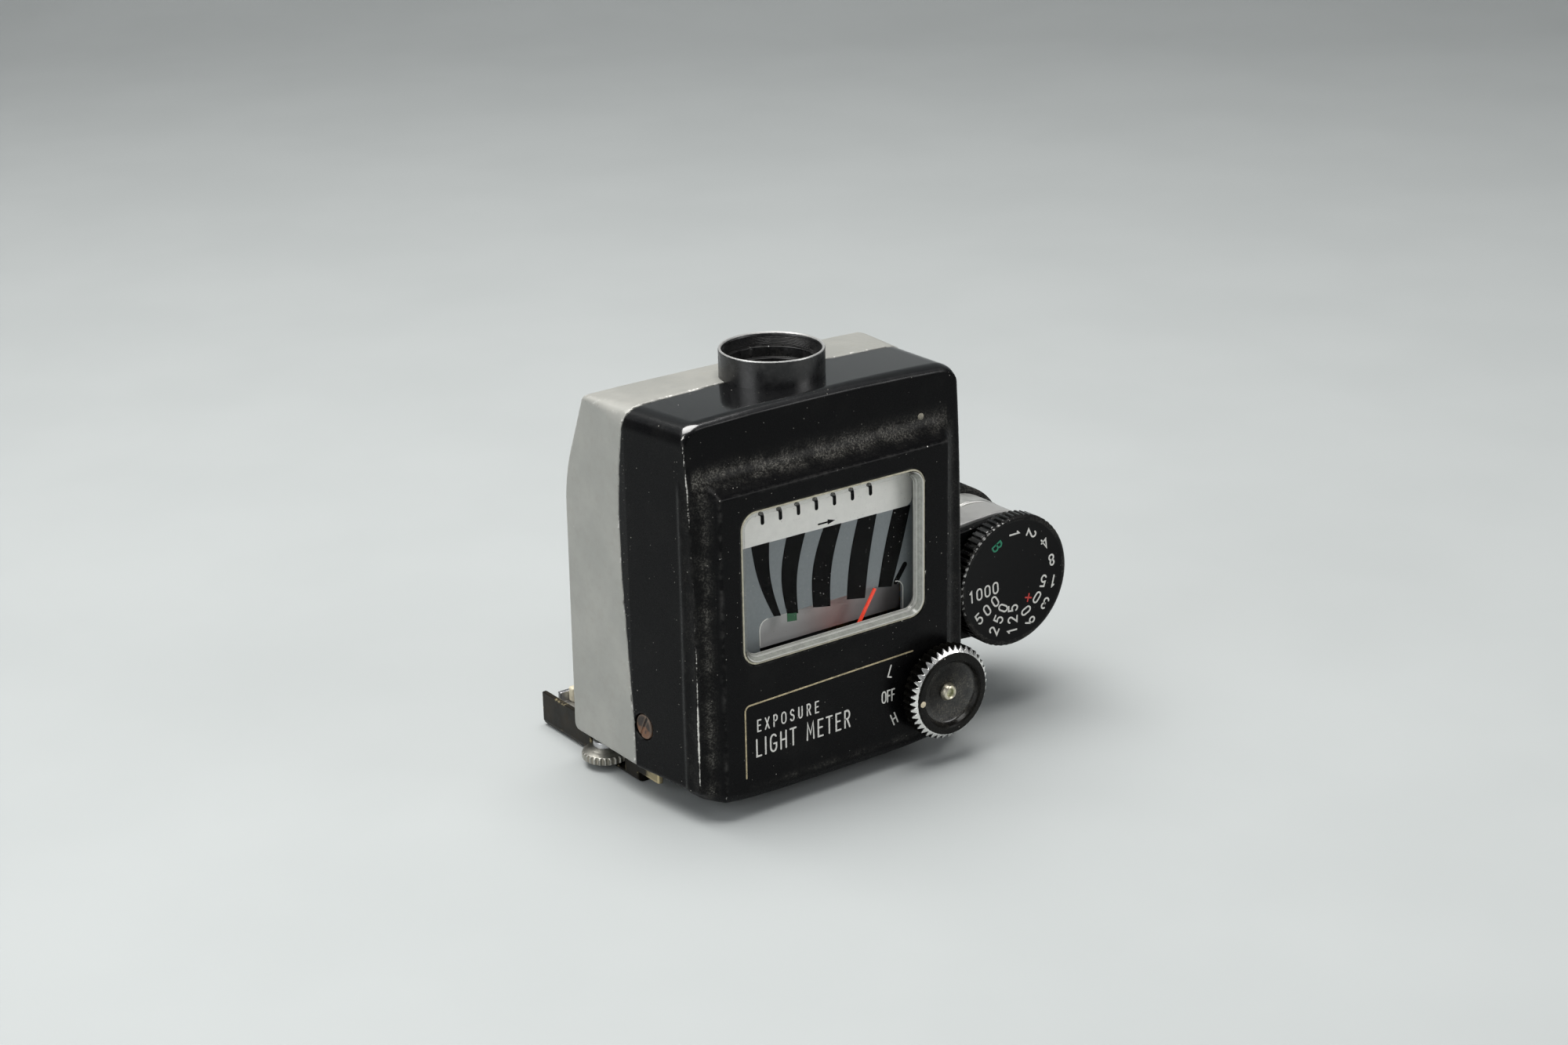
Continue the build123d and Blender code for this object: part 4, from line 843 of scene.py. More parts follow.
STEM = [(0.10, 0.05), (0.10, 0.95)]
CLOSED_GLYPHS = "0O"
GLYPHS = {                          # width and strokes, in shares of the letter's height
    "0": (0.52, round_letter(0.26, 0.21, 0.70, 0.30, 0.25)),
    "1": (0.34, [[(0.08, 0.80), (0.22, 0.95), (0.22, 0.05)]]),
    "2": (0.54, [arc(0.27, 0.72, 0.20, 0.23, 165, -30) + [(0.07, 0.05), (0.49, 0.05)]]),
    "3": (0.54, [arc(0.26, 0.73, 0.19, 0.22, 150, -90) + arc(0.26, 0.28, 0.21, 0.235, 90, -150)]),
    "4": (0.56, [[(0.38, 0.05), (0.38, 0.95), (0.06, 0.30), (0.52, 0.30)]]),
    "5": (0.54, [[(0.46, 0.95), (0.12, 0.95), (0.09, 0.55)] + arc(0.26, 0.33, 0.21, 0.28, 125, -150, 12)]),
    "6": (0.54, [[(0.40, 0.95), (0.16, 0.60)] + arc(0.27, 0.30, 0.20, 0.25, 150, -200, 16)]),
    "8": (0.54, [arc(0.27, 0.73, 0.17, 0.22, -90, 270, 14), arc(0.27, 0.28, 0.205, 0.235, 90, 450, 14)]),
    "B": (0.58, [STEM + [(0.32, 0.95)] + bowl(0.32, 0.74, 0.15, 0.21) + [(0.10, 0.53)],
                 [(0.32, 0.53)] + bowl(0.33, 0.29, 0.18, 0.24) + [(0.10, 0.05)]]),
    "E": (0.52, [[(0.46, 0.95), (0.10, 0.95), (0.10, 0.05), (0.46, 0.05)], [(0.10, 0.52), (0.40, 0.52)]]),
    "F": (0.50, [STEM + [(0.44, 0.95)], [(0.10, 0.52), (0.38, 0.52)]]),
    "G": (0.60, [arc(0.31, 0.68, 0.23, 0.27, 35, 180, 8) + arc(0.31, 0.32, 0.23, 0.27, 180, 340, 9)
                 + [(0.53, 0.46), (0.34, 0.46)]]),
    "H": (0.60, [STEM, [(0.50, 0.05), (0.50, 0.95)], [(0.10, 0.52), (0.50, 0.52)]]),
    "I": (0.24, [[(0.12, 0.05), (0.12, 0.95)]]),
    "L": (0.48, [[(0.10, 0.95), (0.10, 0.05), (0.44, 0.05)]]),
    "M": (0.68, [[(0.08, 0.05), (0.12, 0.95), (0.34, 0.35), (0.56, 0.95), (0.60, 0.05)]]),
    "O": (0.60, round_letter(0.30, 0.24, 0.68, 0.32, 0.27)),
    "P": (0.54, [STEM + [(0.30, 0.95)] + bowl(0.30, 0.72, 0.17, 0.23) + [(0.10, 0.49)]]),
    "R": (0.56, [STEM + [(0.30, 0.95)] + bowl(0.30, 0.73, 0.17, 0.22) + [(0.10, 0.51)],
                 [(0.28, 0.51), (0.48, 0.05)]]),
    "S": (0.54, [arc(0.27, 0.73, 0.18, 0.215, 20, 270) + arc(0.27, 0.28, 0.20, 0.235, 90, -160)]),
    "T": (0.54, [[(0.05, 0.95), (0.49, 0.95)], [(0.27, 0.95), (0.27, 0.05)]]),
    "U": (0.58, [[(0.10, 0.95), (0.10, 0.30)] + arc(0.29, 0.30, 0.19, 0.25, 180, 360) + [(0.48, 0.95)]]),
    "X": (0.54, [[(0.06, 0.05), (0.48, 0.95)], [(0.06, 0.95), (0.48, 0.05)]]),
    "+": (0.60, [[(0.30, 0.20), (0.30, 0.80)], [(0.0, 0.50), (0.60, 0.50)]]),
}

FRONT = (np.array([1.0, 0, 0]), np.array([0, 0, 1.0]), np.array([0, -1.0, 0]))
CAP_STEPS = 5                       # points of a stroke's round end


def stroke(b, points, width, origin, u, w, out, height, closed=False):
    """One raised painted line of even width with round ends; u and w span its plane."""
    p = np.asarray(points, float)
    if closed:
        apart = np.linalg.norm(np.diff(p, axis=0), axis=1) > 1e-6
        p = p[np.concatenate([[True], apart])]
        if np.linalg.norm(p[0] - p[-1]) < 1e-6:
            p = p[:-1]
        d = unit(np.roll(p, -1, 0) - np.roll(p, 1, 0))
    else:
        seg = unit(np.diff(p, axis=0))
        d = unit(np.concatenate([seg[:1], seg[1:] + seg[:-1], seg[-1:]]))
    aside = np.stack([-d[:, 1], d[:, 0]], 1)
    half = np.full((len(p), 1), width / 2)
    if not closed:
        turn = np.clip((seg[1:] * seg[:-1]).sum(1), -0.6, 1)
        half[1:-1, 0] /= np.sqrt((1 + turn) / 2)
    left, right = p + aside * half, p - aside * half

    def lift(q, h):
        return np.asarray(origin) + q[:, :1] * u + q[:, 1:] * w + np.asarray(out) * h

    k = len(p)
    if closed:
        verts = [lift(left, 0), lift(left, height), lift(right, height), lift(right, 0)]
        faces = [f[::-1] for f in ring_faces(4, k, wrap=True)]
    else:
        t = np.linspace(-math.pi / 2, math.pi / 2, CAP_STEPS + 2)[1:-1, None]
        start = p[0] + width / 2 * (aside[0] * np.sin(t) - d[0] * np.cos(t))
        end = p[-1] + width / 2 * (d[-1] * np.cos(t) - aside[-1] * np.sin(t))
        verts = [lift(q, h) for h in (0, height) for q in (left, right, start, end)]
        start_ids = [2 * k + i for i in range(CAP_STEPS)]
        end_ids = [2 * k + CAP_STEPS + i for i in range(CAP_STEPS)]
        cover = [[i, k + i, k + i + 1, i + 1] for i in range(k - 1)]
        cover += [[k, 0] + start_ids[::-1], [k - 1, 2 * k - 1] + end_ids[::-1]]
        ring = list(range(k)) + end_ids + [2 * k - 1 - i for i in range(k)] + start_ids
        top = 2 * (k + CAP_STEPS)
        faces = [[i + top for i in f] for f in cover] + [f[::-1] for f in cover]
        faces += [[a, a + top, c + top, c] for a, c in zip(ring, ring[1:] + ring[:1])]
    if np.dot(np.cross(u, w), out) < 0:
        faces = [f[::-1] for f in faces]
    b.add(np.vstack(verts), faces)


SPACE = 0.45                        # width of a space, in shares of the letter's height


def text_width(text, size, gap):
    return sum(GLYPHS[c][0] * size + gap if c != " " else SPACE * size for c in text) - gap


def lettering(b, text, size, origin, u, w, out, width=0.2, gap=0.3, height=0.02, squeeze=1.0, pitch=None):
    """Letters in a row along u from the origin; a pitch sets their middles at even steps."""
    x = 0.0
    for place, letter in enumerate(text):
        if letter == " ":
            x += SPACE * size
            continue
        share, strokes = GLYPHS[letter]
        wide = share * size * squeeze
        shift = place * pitch - wide / 2 if pitch else x
        for k, line in enumerate(strokes):
            points = [(px * size * squeeze + shift, (py - 0.5) * size) for px, py in line]
            stroke(b, points, width, origin, u, w, out, height + 0.002 * k, letter in CLOSED_GLYPHS)
        x += wide + gap


def slanted(angle):
    """Reading direction and upward direction of text on the front, turned by an angle."""
    u = np.array([math.cos(angle), 0, math.sin(angle)])
    return u, np.array([-u[2], 0, u[0]])


def decal(b, pts, y, height=0.02):
    """A printed patch: closed polygon in x, z raised a hair above the plane y."""
    back = outline_points(counter_clockwise(pts), y)
    k = len(back)
    faces = [list(range(k))[::-1], [k + i for i in range(k)]]
    b.add(np.vstack([back, back - [0, height, 0]]), faces + ring_faces(2, k))


# ------------------------------------------------------------------ the window
def loop_rect(x0, x1, z0, z1, r, n=12):
    corners = ((x1 - r, z0 + r, -90), (x1 - r, z1 - r, 0), (x0 + r, z1 - r, 90), (x0 + r, z0 + r, 180))
    return np.array([point for cx, cz, a in corners for point in arc(cx, cz, r, r, a, a + 90, n)])


def window_loop(inset, r):
    x0, x1, z0, z1 = WINDOW
    return loop_rect(x0 + inset, x1 - inset, z0 + inset, z1 - inset, r)


def frame_of(loops):
    """A frame whose section runs through (outline, y, edge, hollow) loops and closes."""
    count = len(loops[0][0])
    faces = [[a, d, c, b] for a, b, c, d in ring_faces(len(loops), count, wrap=True)]
    rows = [outline_points(outline, y) for outline, y, _, _ in loops]
    edge, hollow = (np.repeat([loop[k] for loop in loops], count) for k in (2, 3))
    return Build().add(np.vstack(rows), faces, edge=edge, hollow=hollow)


def bevelled_pane(outline, y0, y1, bevel):
    """A flat pane from y0 to y1 with rounded rims."""
    o = counter_clockwise(outline)
    d = np.roll(o, -1, 0) - np.roll(o, 1, 0)
    outward = unit(np.stack([d[:, 1], -d[:, 0]], 1))
    rims = [(bevel, 0), (bevel * 0.3, bevel * 0.3), (0, bevel)]
    rows = [(inset, y0 + depth) for inset, depth in rims]
    rows += [(inset, y1 - depth) for inset, depth in rims[::-1]]
    verts = np.vstack([outline_points(o - outward * inset, y) for inset, y in rows])
    k = len(o)
    faces = ring_faces(len(rows), k) + [list(range(k))[::-1], [len(verts) - k + i for i in range(k)]]
    return Build().add(verts, [f[::-1] for f in faces])


def window():
    # Each row: inset from the opening, corner radius, y, edge paint, hollow paint.
    gasket = ((0.04, 2.58, 2.1, 0, 0), (0.04, 2.58, 0.04, 0, 0), (0.10, 2.52, -0.02, 0, 0),
              (0.26, 2.38, -0.02, 0, 0), (0.32, 2.35, 0.08, 0, 0), (0.32, 2.35, 2.1, 0, 0))
    # In the moulding, edge paint marks painted highlight lines, and hollow paint marks darker grooves.
    moulding = ((0.36, 2.3, 2.15, 0, 0.6), (0.36, 2.3, -0.10, 0, 0.8), (0.42, 2.25, -0.20, 1, 0),
                (0.52, 2.15, -0.20, 1, 0), (0.60, 2.1, -0.08, 0, 0.2), (0.86, 1.9, 0.42, 0, 0),
                (0.94, 1.85, 0.52, 0, 0.8), (1.02, 1.8, 0.54, 0.5, 0), (1.14, 1.72, 0.78, 0.2, 0),
                (1.20, 1.66, 0.90, 0, 0.9), (1.26, 1.6, 0.96, 0.8, 0), (1.28, 1.6, 1.10, 0.5, 0.2),
                (0.80, 1.9, 1.30, 0, 0), (0.60, 2.1, 2.15, 0, 0))
    b = frame_of([(window_loop(inset, r), *rest) for inset, r, *rest in gasket])
    b.done("window_gasket_ring", "housing", "ivory_plastic", "ivory", ["window_gasket"], 40)
    b = frame_of([(window_loop(inset, r), *rest) for inset, r, *rest in moulding])
    v = b.points()
    # The right and bottom bevels are made milky and opaque: painted light that these bevels catch.
    right, down = (v[:, 0] + 0.3) / 16.3, (34.9 - v[:, 2]) / 11.5
    b.repaint(bare=np.clip(np.maximum((right - 0.84) / 0.08, (down - 0.80) / 0.1), 0, 1))
    b.done("window_frame", "housing", "clear_plastic", "frame_clear", (), 50)
    b = bevelled_pane(window_loop(1.24, 1.62), 1.08, 1.95, 0.04)
    b.done("window_glass", "housing", "clear_plastic", "pane", ["window_pane"], 40)


def stripe(top, low, low_z, bow):
    """A black scale stripe: x limits at its top and its foot, and how far both sides bow."""
    top_z = 39.7 - 0.005 * (top[0] + top[1])
    left, right = [], []
    for t in np.linspace(0, 1, 12):
        z = top_z + t * (low_z - 39.7) - 0.07 * t * t
        x0, x1 = (a + (c - a) * t + side * math.sin(math.pi * t) for a, c, side in zip(top, low, bow))
        left.append((x0, z))
        right.append((x1, z - 0.55 * t * (low[1] - low[0]) / 3))
    return left + right[::-1]


def scale():
    y = 3.2                         # of the printed face
    above = (0, y - 0.03, 0)
    plate = loop_rect(-18.4, 18.4, 14.8, 47.8, 1.2)
    hole = loop_rect(-11.5, 14.4, 17.6, 28.3, 1.4)
    b = frame_of([(plate, 3.75, 0, 0), (plate, 3.25, 0, 0), (plate * 0.999 + 0.015, y, 0, 0),
                  (hole, y, 1, 0), (hole, 3.75, 0, 0)])
    b.done("scale_plate_front", "housing", "scale_print", "scale", ["scale_plate"], 30)
    b = Build()
    band = [(-18.2, 47.6), (-18.2, 39.86), (15.2, 39.52), (15.9, 40.0), (16.1, 40.7), (16.1, 47.6)]
    decal(b, band, y, 0.03)
    b.done("scale_band", "housing", "scale_print", "band", (), 40)
    b = Build()
    for shape in (((-12.65, -9.55), (-8.97, -7.73), 28.36, (-0.62, -0.75)),
                  ((-6.53, -3.23), (-6.62, -4.69), 28.15, (-0.95, -0.80)),
                  ((-0.02, 3.2), (-2.02, 1.07), 28.05, (-0.95, -0.75)),
                  ((6.18, 9.6), (4.06, 7.36), 27.82, (-0.45, -0.25)),
                  ((12.63, 15.82), (9.82, 12.29), 28.32, (-0.2, 0.15))):
        decal(b, stripe(*shape), y, 0.045)
    for x in (-10.79, -7.67, -4.52, -1.35, 1.85, 5.08, 8.34):
        tick = [(x - 0.30, 44.42), (x + 0.02, 44.30), (x + 0.13, 43.9), (x + 0.16, 42.95)]
        stroke(b, tick, 0.60, above, *FRONT, 0.02)
    stroke(b, [(-0.9, 40.42), (1.2, 40.42)], 0.24, above, *FRONT, 0.03)
    decal(b, [(0.75, 40.8), (2.08, 40.42), (0.75, 40.04)], above[1], 0.034)
    stroke(b, [(14.75, 30.5), (13.1, 28.2)], 0.85, (0, y, 0), *FRONT, 0.04)
    b.done("scale_marks", "housing", "scale_print", "print_black", (), 40)
    b = Build()
    # White strokes on the cut-out's right edge and lower-left corner: painted highlights where the rim
    # catches light.
    right_glint_line = [(13.0, 28.3)] + arc(13.0, 26.9, 1.4, 1.4, 90, 0, 6) + [(14.4, 20.0)]
    left_glint_line = [(-11.5, 24.5)] + arc(-10.1, 26.9, 1.4, 1.4, 180, 90, 6)
    for lip in (right_glint_line, left_glint_line):
        stroke(b, lip, 0.13, (0, y, 0), *FRONT, 0.05)
    b.done("scale_cutout_highlight", "housing", "scale_print", "band", (), 40)
    b = Build()
    decal(b, [(-6.65, 28.2), (-4.97, 27.95), (-4.97, 26.75), (-6.65, 26.95)], y, 0.06)
    b.done("scale_green_mark", "housing", "scale_print", "print_green", (), 40)


# ------------------------------------------------------------------- the dial
def ribs(count, depth, duty, soft):
    """How deep evenly spaced grooves with sloped flanks cut at an angle."""
    def cut(th):
        place = (th / (2 * math.pi) * count) % 1.0
        return depth * np.clip((duty - np.abs(place - 0.5) * 2) / soft + 0.5, 0, 1)
    return cut


DIAL_RADIUS = 10.5
DIAL_FACE = 5.335                   # y of the paint on the dial
# Letters on a label: radius of the first letter, and step inward from letter to letter.
LABEL_STEPS = {1: (7.72, 1.0), 2: (8.25, 2.15), 3: (8.25, 1.88), 4: (8.5, 1.6)}
LABELS = (("1", 90.4), ("2", 64.0), ("4", 37.8), ("8", 11.9), ("15", -14.0), ("30", -39.9),
          ("60", -65.8), ("125", -91.8), ("250", -118.4), ("500", -146.6), ("1000", -175.6))


def dial_point(radius, angle):
    return np.array([DIAL[0] + radius * math.cos(angle), DIAL_FACE, DIAL[1] + radius * math.sin(angle)])


def dial_label(b, text, degrees, radius, pitch):
    """A label that reads from the rim inward."""
    angle = math.radians(degrees)
    inward = np.array([-math.cos(angle), 0, -math.sin(angle)])
    upward = np.array([math.sin(angle), 0, -math.cos(angle)])
    lettering(b, text, 1.95, dial_point(radius, angle), inward, upward, FRONT[2],
              width=0.27, height=0.035, squeeze=1.12, pitch=pitch)


def speed_dial():
    cut = ribs(60, 0.42, 0.50, 0.22)

    def shape(th, r, t):
        if r[0] < 10.0 or t < 5.36:
            return r
        return np.minimum(r, DIAL_RADIUS - cut(th) * np.clip((t - 5.42) / 0.22, 0, 1))

    face = [(0, 5.33), (9.55, 5.33, 0), (9.7, 5.30, 0.05), (10.05, 5.30, 0.08), (10.38, 5.46, 0.05)]
    side = [(DIAL_RADIUS, y, r) for y, r in ((5.62, 0.05), (6.2, 0), (7.1, 0), (7.85, 0.1))]
    rear = [(10.2, 8.0, 0.08), (9.3, 8.0, 0.1), (9.3, 7.0, 0.1), (3.4, 7.0, 0.1), (3.4, 8.45, 0.05)]
    hub = [(1.5, 8.45, 0.05), (1.5, 6.5, 0), (0, 6.5)]
    b = lathe(Build(), face + side + rear + hub, DIAL, n=720, shape=shape)
    v = b.points()
    angle = np.arctan2(v[:, 2] - DIAL[1], v[:, 0] - DIAL[0])
    r = disc(v[:, 0], v[:, 2], DIAL, 0)
    chamfer = bell((r - 10.2, 0.22)) * (v[:, 1] < 5.6)
    rubbed = 0.30 + 0.62 * np.clip(np.cos(angle - math.radians(150)) * 1.3 - 0.15, 0, 1)
    b.repaint(bare=chamfer * rubbed * (0.85 + 0.15 * np.cos(angle * 60)),
              gloss=np.clip(np.sin(angle) * 1.8 - 0.5, 0, 1) * (r > 9.9) * (v[:, 1] > 5.5))
    b.done("speed_dial_ribbed", "dial", "black_anodised", "dial_black", ["speed_dial"], 38)
    white, green, red = Build(), Build(), Build()
    for text, degrees in LABELS:
        dial_label(white, text, degrees, *LABEL_STEPS[len(text)])
    dial_label(green, "B", 118.4, 7.25, 1.0)
    lettering(red, "+", 2.0, dial_point(4.56, math.radians(-50.2)), *slanted(math.radians(75)), FRONT[2],
              width=0.24, height=0.035, pitch=1.0)
    white.done("dial_numbers", "dial", "ivory_plastic", "paint_white", (), 40)
    green.done("dial_letter", "dial", "ivory_plastic", "paint_green", (), 40)
    red.done("dial_cross", "dial", "needle_red", "paint_red", (), 40)


def dial_arm():
    def arm(x, y, z):
        f = smax(arm2d(x, z, 9.73, 24.0, 10.35), slab(y, 10.16, 15.5), 0.3)
        f = smax(f, 24.0 - x, 0.1)
        f = carve(f, smax(arm2d(x, z, 8.45, 22.0, 9.1), y - 14.6, 0.3), 0.15)
        tab = smax(rect(x, z, 18.7, 26.0, 13.55, 29.55, 0.5), slab(y, 14.6, 15.5), 0.15)
        return carve(smin(f, tab, 0.1), disc(x, z, DIAL, DIAL_BORE), 0.05)
    skin("dial_arm_skin", arm, (18.4, 10.0, 10.8), (47.8, 15.8, 32.3), 0.22,
         "housing", "arm_grey", ["dial_arm"])


def collar_and_ring():
    rim = [(9.2, 15.72, 0.1), (9.25, 15.95, 0.05), (9.62, 15.97, 0.15), (9.8, 16.2, 0.15), (9.8, 19.9, 0.15)]
    hub = [(9.6, 20.1, 0.1), (8.6, 20.1, 0.05), (8.6, 19.0, 0.05), (6.0, 19.0, 0.1), (6.0, 22.4, 0.1),
           (3.6, 22.4, 0.1), (3.6, 19.0, 0.1)]
    b = lathe(Build(), [(1.5, 15.72, 0)] + rim + hub + [(1.5, 19.0, 0)], DIAL, n=128)
    b.done("coupling_collar_turned", "dial", "bright_aluminium", "bright", ["coupling_collar"])
    cut = ribs(72, 0.38, 0.5, 0.5)
    outside = [(10.3, 20.32, 0.1), (10.75, 20.75, 0.15), (10.75, 22.5, 0), (10.75, 25.75, 0.15)]
    top = [(10.45, 26.18, 0.1), (9.3, 26.18, 0.1), (9.2, 23.2, 0.1), (6.1, 23.2, 0)]
    b = lathe(Build(), [(6.1, 20.32, 0)] + outside + top + [(6.1, 20.32, 0)], DIAL, n=576,
              shape=lambda th, r, t: np.minimum(r, 10.75 - cut(th)) if 20.9 < t < 25.7 else r)
    pin = [(0, 24.7), (0.45, 24.7, 0.1), (0.6, 24.55, 0.1), (0.6, 23.1, 0), (0, 23.1)]
    for side in (-1, 1):
        lathe(b, pin, (DIAL[0] + side * 8.3, DIAL[1]), n=20)
    b.done("film_ring_knurled", "film_ring", "black_anodised", "ring_black", ["film_ring"])


# ------------------------------------------------------------- the range knob
def knob_outline(th):
    """Radius of the knob's forty notches."""
    place = (th / (2 * math.pi) * 40) % 1.0
    return 7.3 - 0.72 * np.clip(1.15 - np.abs(place - 0.5) * 2.6, 0, 1)


def knob_trim():
    """The bright toothed cone round the knob."""
    n, inner = 480, 6.33
    th = np.linspace(0, 2 * math.pi, n, endpoint=False)
    # Section of the cone: share of its width, and lift off its slope.
    section = ((0, 0), (0.12, 0.03), (0.5, 0.03), (0.9, 0.03), (1, 0), (1, -0.16), (0, -0.16))
    rows = []
    for share, lift in section:
        r = inner + (knob_outline(th) - inner) * share
        y = -3.66 + (r - inner) * 0.66 - lift
        rows.append(np.stack([KNOB[0] + r * np.cos(th), y, KNOB[1] + r * np.sin(th)], 1))
    b = Build().add(np.vstack(rows), ring_faces(len(rows), n, wrap=True))
    b.done("knob_trim_toothed", "knob", "bright_aluminium", "trim", ["knob_trim"], 30)


def knob():
    side = [(6.9, -1.0, 0.1), (7.3, -1.35, 0.1), (7.3, -2.0, 0), (7.3, -2.98, 0.0), (6.32, -3.55, 0.03)]
    lip = [(6.32, -3.92, 0.06), (6.2, -4.02, 0.06), (5.35, -4.02, 0.12), (5.1, -3.82, 0.1)]
    dish = [(4.75, -3.15, 0.5), (3.6, -2.85, 0.8), (1.7, -2.78, 0.1), (0.8, -2.76, 0.05), (0.8, -1.5, 0)]
    profile = [(1.5, -1.0, 0)] + side + lip + dish + [(1.5, -1.3, 0), (1.5, -1.0, 0)]
    b = lathe(Build(), profile[::-1], KNOB, n=480,
              shape=lambda th, r, t: np.minimum(r, knob_outline(th)) if r[0] > 6.4 else r)
    v = b.points()
    r = disc(v[:, 0], v[:, 2], KNOB, 0)
    angle = np.arctan2(v[:, 2] - KNOB[1], v[:, 0] - KNOB[0])
    bowl_share = np.clip((5.0 - r) / 0.4, 0, 1) * (v[:, 1] < -2.6)
    # lit marks the dish's lower-right side, painted lighter through the hollow paint as painted light, and
    # given more coat.
    lit = np.clip(0.5 + 0.7 * np.cos(angle + 0.9), 0, 1)
    dust_and_light = bowl_share * (0.22 + 0.6 * lit + 0.5 * bell((r - 1.5, 0.9)))
    b.repaint(hollow=np.clip(dust_and_light + b.paint["hollow"][0] * 0.1, 0, 1),
              gloss=bowl_share * lit * (0.25 + 0.5 * bell((r - 4.3, 0.5))))
    b.done("range_knob_turned", "knob", "black_plastic", "knob_black", ["range_knob"])
    knob_trim()
    pin = [(0, -3.08), (0.5, -3.06, 0.05), (0.58, -3.42, 0.05), (0.85, -3.62, 0.1), (1.1, -3.45, 0.15),
           (1.42, -2.86, 0.1), (1.42, -2.72, 0.02), (0.8, -2.70, 0.05), (0.78, -1.35, 0), (0, -1.35)]
    b = lathe(Build(), pin[::-1], KNOB, n=64)
    v = b.points()
    b.repaint(hollow=(disc(v[:, 0], v[:, 2], KNOB, 0.6) < 0) * (v[:, 1] > -3.5) * 1.0)
    b.done("knob_pin_turned", "knob", "nickel", "pin", ["knob_pin"])
    dot = [(0, -4.06), (0.3, -4.055, 0.1), (0.5, -4.02, 0.05), (0.5, -3.7, 0), (0, -3.7)]
    b = lathe(Build(), dot[::-1], (KNOB[0] - 5.63, KNOB[1] - 0.15), n=28)
    b.done("knob_index_dot", "knob", "ivory_plastic", "dot", ["knob_index"])


# -------------------------------------------------------------- the cell tube
def tube():
    outside = [(5.6, 54.2, 0), (6.4, 54.2, 0.1), (6.4, 59.0, 0), (7.68, 59.0, 0), (7.68, 63.66, 0.08)]
    mouth = [(7.58, 63.88, 0.05), (7.36, 63.88, 0.05), (7.18, 63.6, 0.03)]
    thread = []
    for turn in range(9):
        z = 63.4 - 0.16 * turn
        thread += [(7.12, z, 0.02), (7.24, z - 0.08, 0.02)]
    inside = [(7.12, 61.95, 0.05), (6.35, 61.95, 0.06), (6.35, 60.4, 0.06), (5.6, 60.4, 0.06), (5.6, 58.0, 0)]
    b = lathe(Build(), outside + mouth + thread + inside + [(5.6, 54.2, 0)], TUBE, "z", 160, steps=3)
    v = b.points()
    z = v[:, 2]
    b.repaint(bare=1.3 * (z > 63.68) * (disc(v[:, 0], v[:, 1], TUBE, 7.2) > 0),
              edge=b.paint["edge"][0] * (z > 60), hollow=b.paint["hollow"][0] * 0.6 * (z < 63.2))
    b.done("cell_tube_turned", "housing", "black_paint", "tube_black", ["cell_tube"])
    retainer = [(4.3, 58.72, 0), (5.57, 58.72, 0), (5.57, 59.9, 0.1), (5.1, 59.9, 0.05), (5.05, 59.75, 0.05),
                (4.5, 59.72, 0.1), (4.3, 59.55, 0.1), (4.3, 58.72, 0)]
    nut = [(6.42, 55.6, 0), (8.4, 55.6, 0.1), (8.4, 57.3, 0.1), (6.42, 57.3, 0), (6.42, 55.6, 0)]
    b = lathe(lathe(Build(), retainer, TUBE, "z"), nut, TUBE, "z")
    b.done("cell_rings_turned", "housing", "black_paint", "ring_black", ["cell_rings"])
    lens = [(0, 57.45), (5.5, 57.45, 0.1), (5.55, 58.3, 0.1), (4.4, 58.62, 0.3), (2.5, 58.95, 0.5), (0, 59.1)]
    b = lathe(Build(), lens, TUBE, "z", 72)
    b.done("cell_window_lens", "housing", "cell_glass", "lens", ["cell_window"], 60)


# ----------------------------------------------------------- clip, wheel, jaw
def clip():
    def bracket(x, y, z):
        half = [(21.4, 0.4), (21.8, 0.58), (22.0, 1.0), (22.0, 5.6)]
        f = path_distance(x, z, [(-u, v) for u, v in half[::-1]] + half) - 0.4
        f = smax(smax(f, z - 5.6, 0.12), slab(y, 14.0, 46.0), 0.2)
        f = carve(f, common(y - 33.4, 4.2 - z, np.full_like(z, -1.0)), 0.5)
        f = carve(f, common(x + 20.9, slab(y, 23.0, 32.3), 0.82 - z), 0.12)
        f = carve(f, common(15.5 - np.abs(x), y - 19.5, z - 1.85), 0.12)
        for side in (-1, 1):
            hole = disc(x, y, (side * 11.0, 19.2), 0)
            f = carve(f, np.minimum(hole - 0.86, (hole - 1.85 + z) * 0.7), 0.05)
        return f
    skin("clip_bracket_sheet", bracket, (-22.6, 13.8, -0.1), (22.6, 46.2, 5.8), 0.2,
         "housing", "oxide", ["clip_bracket"])


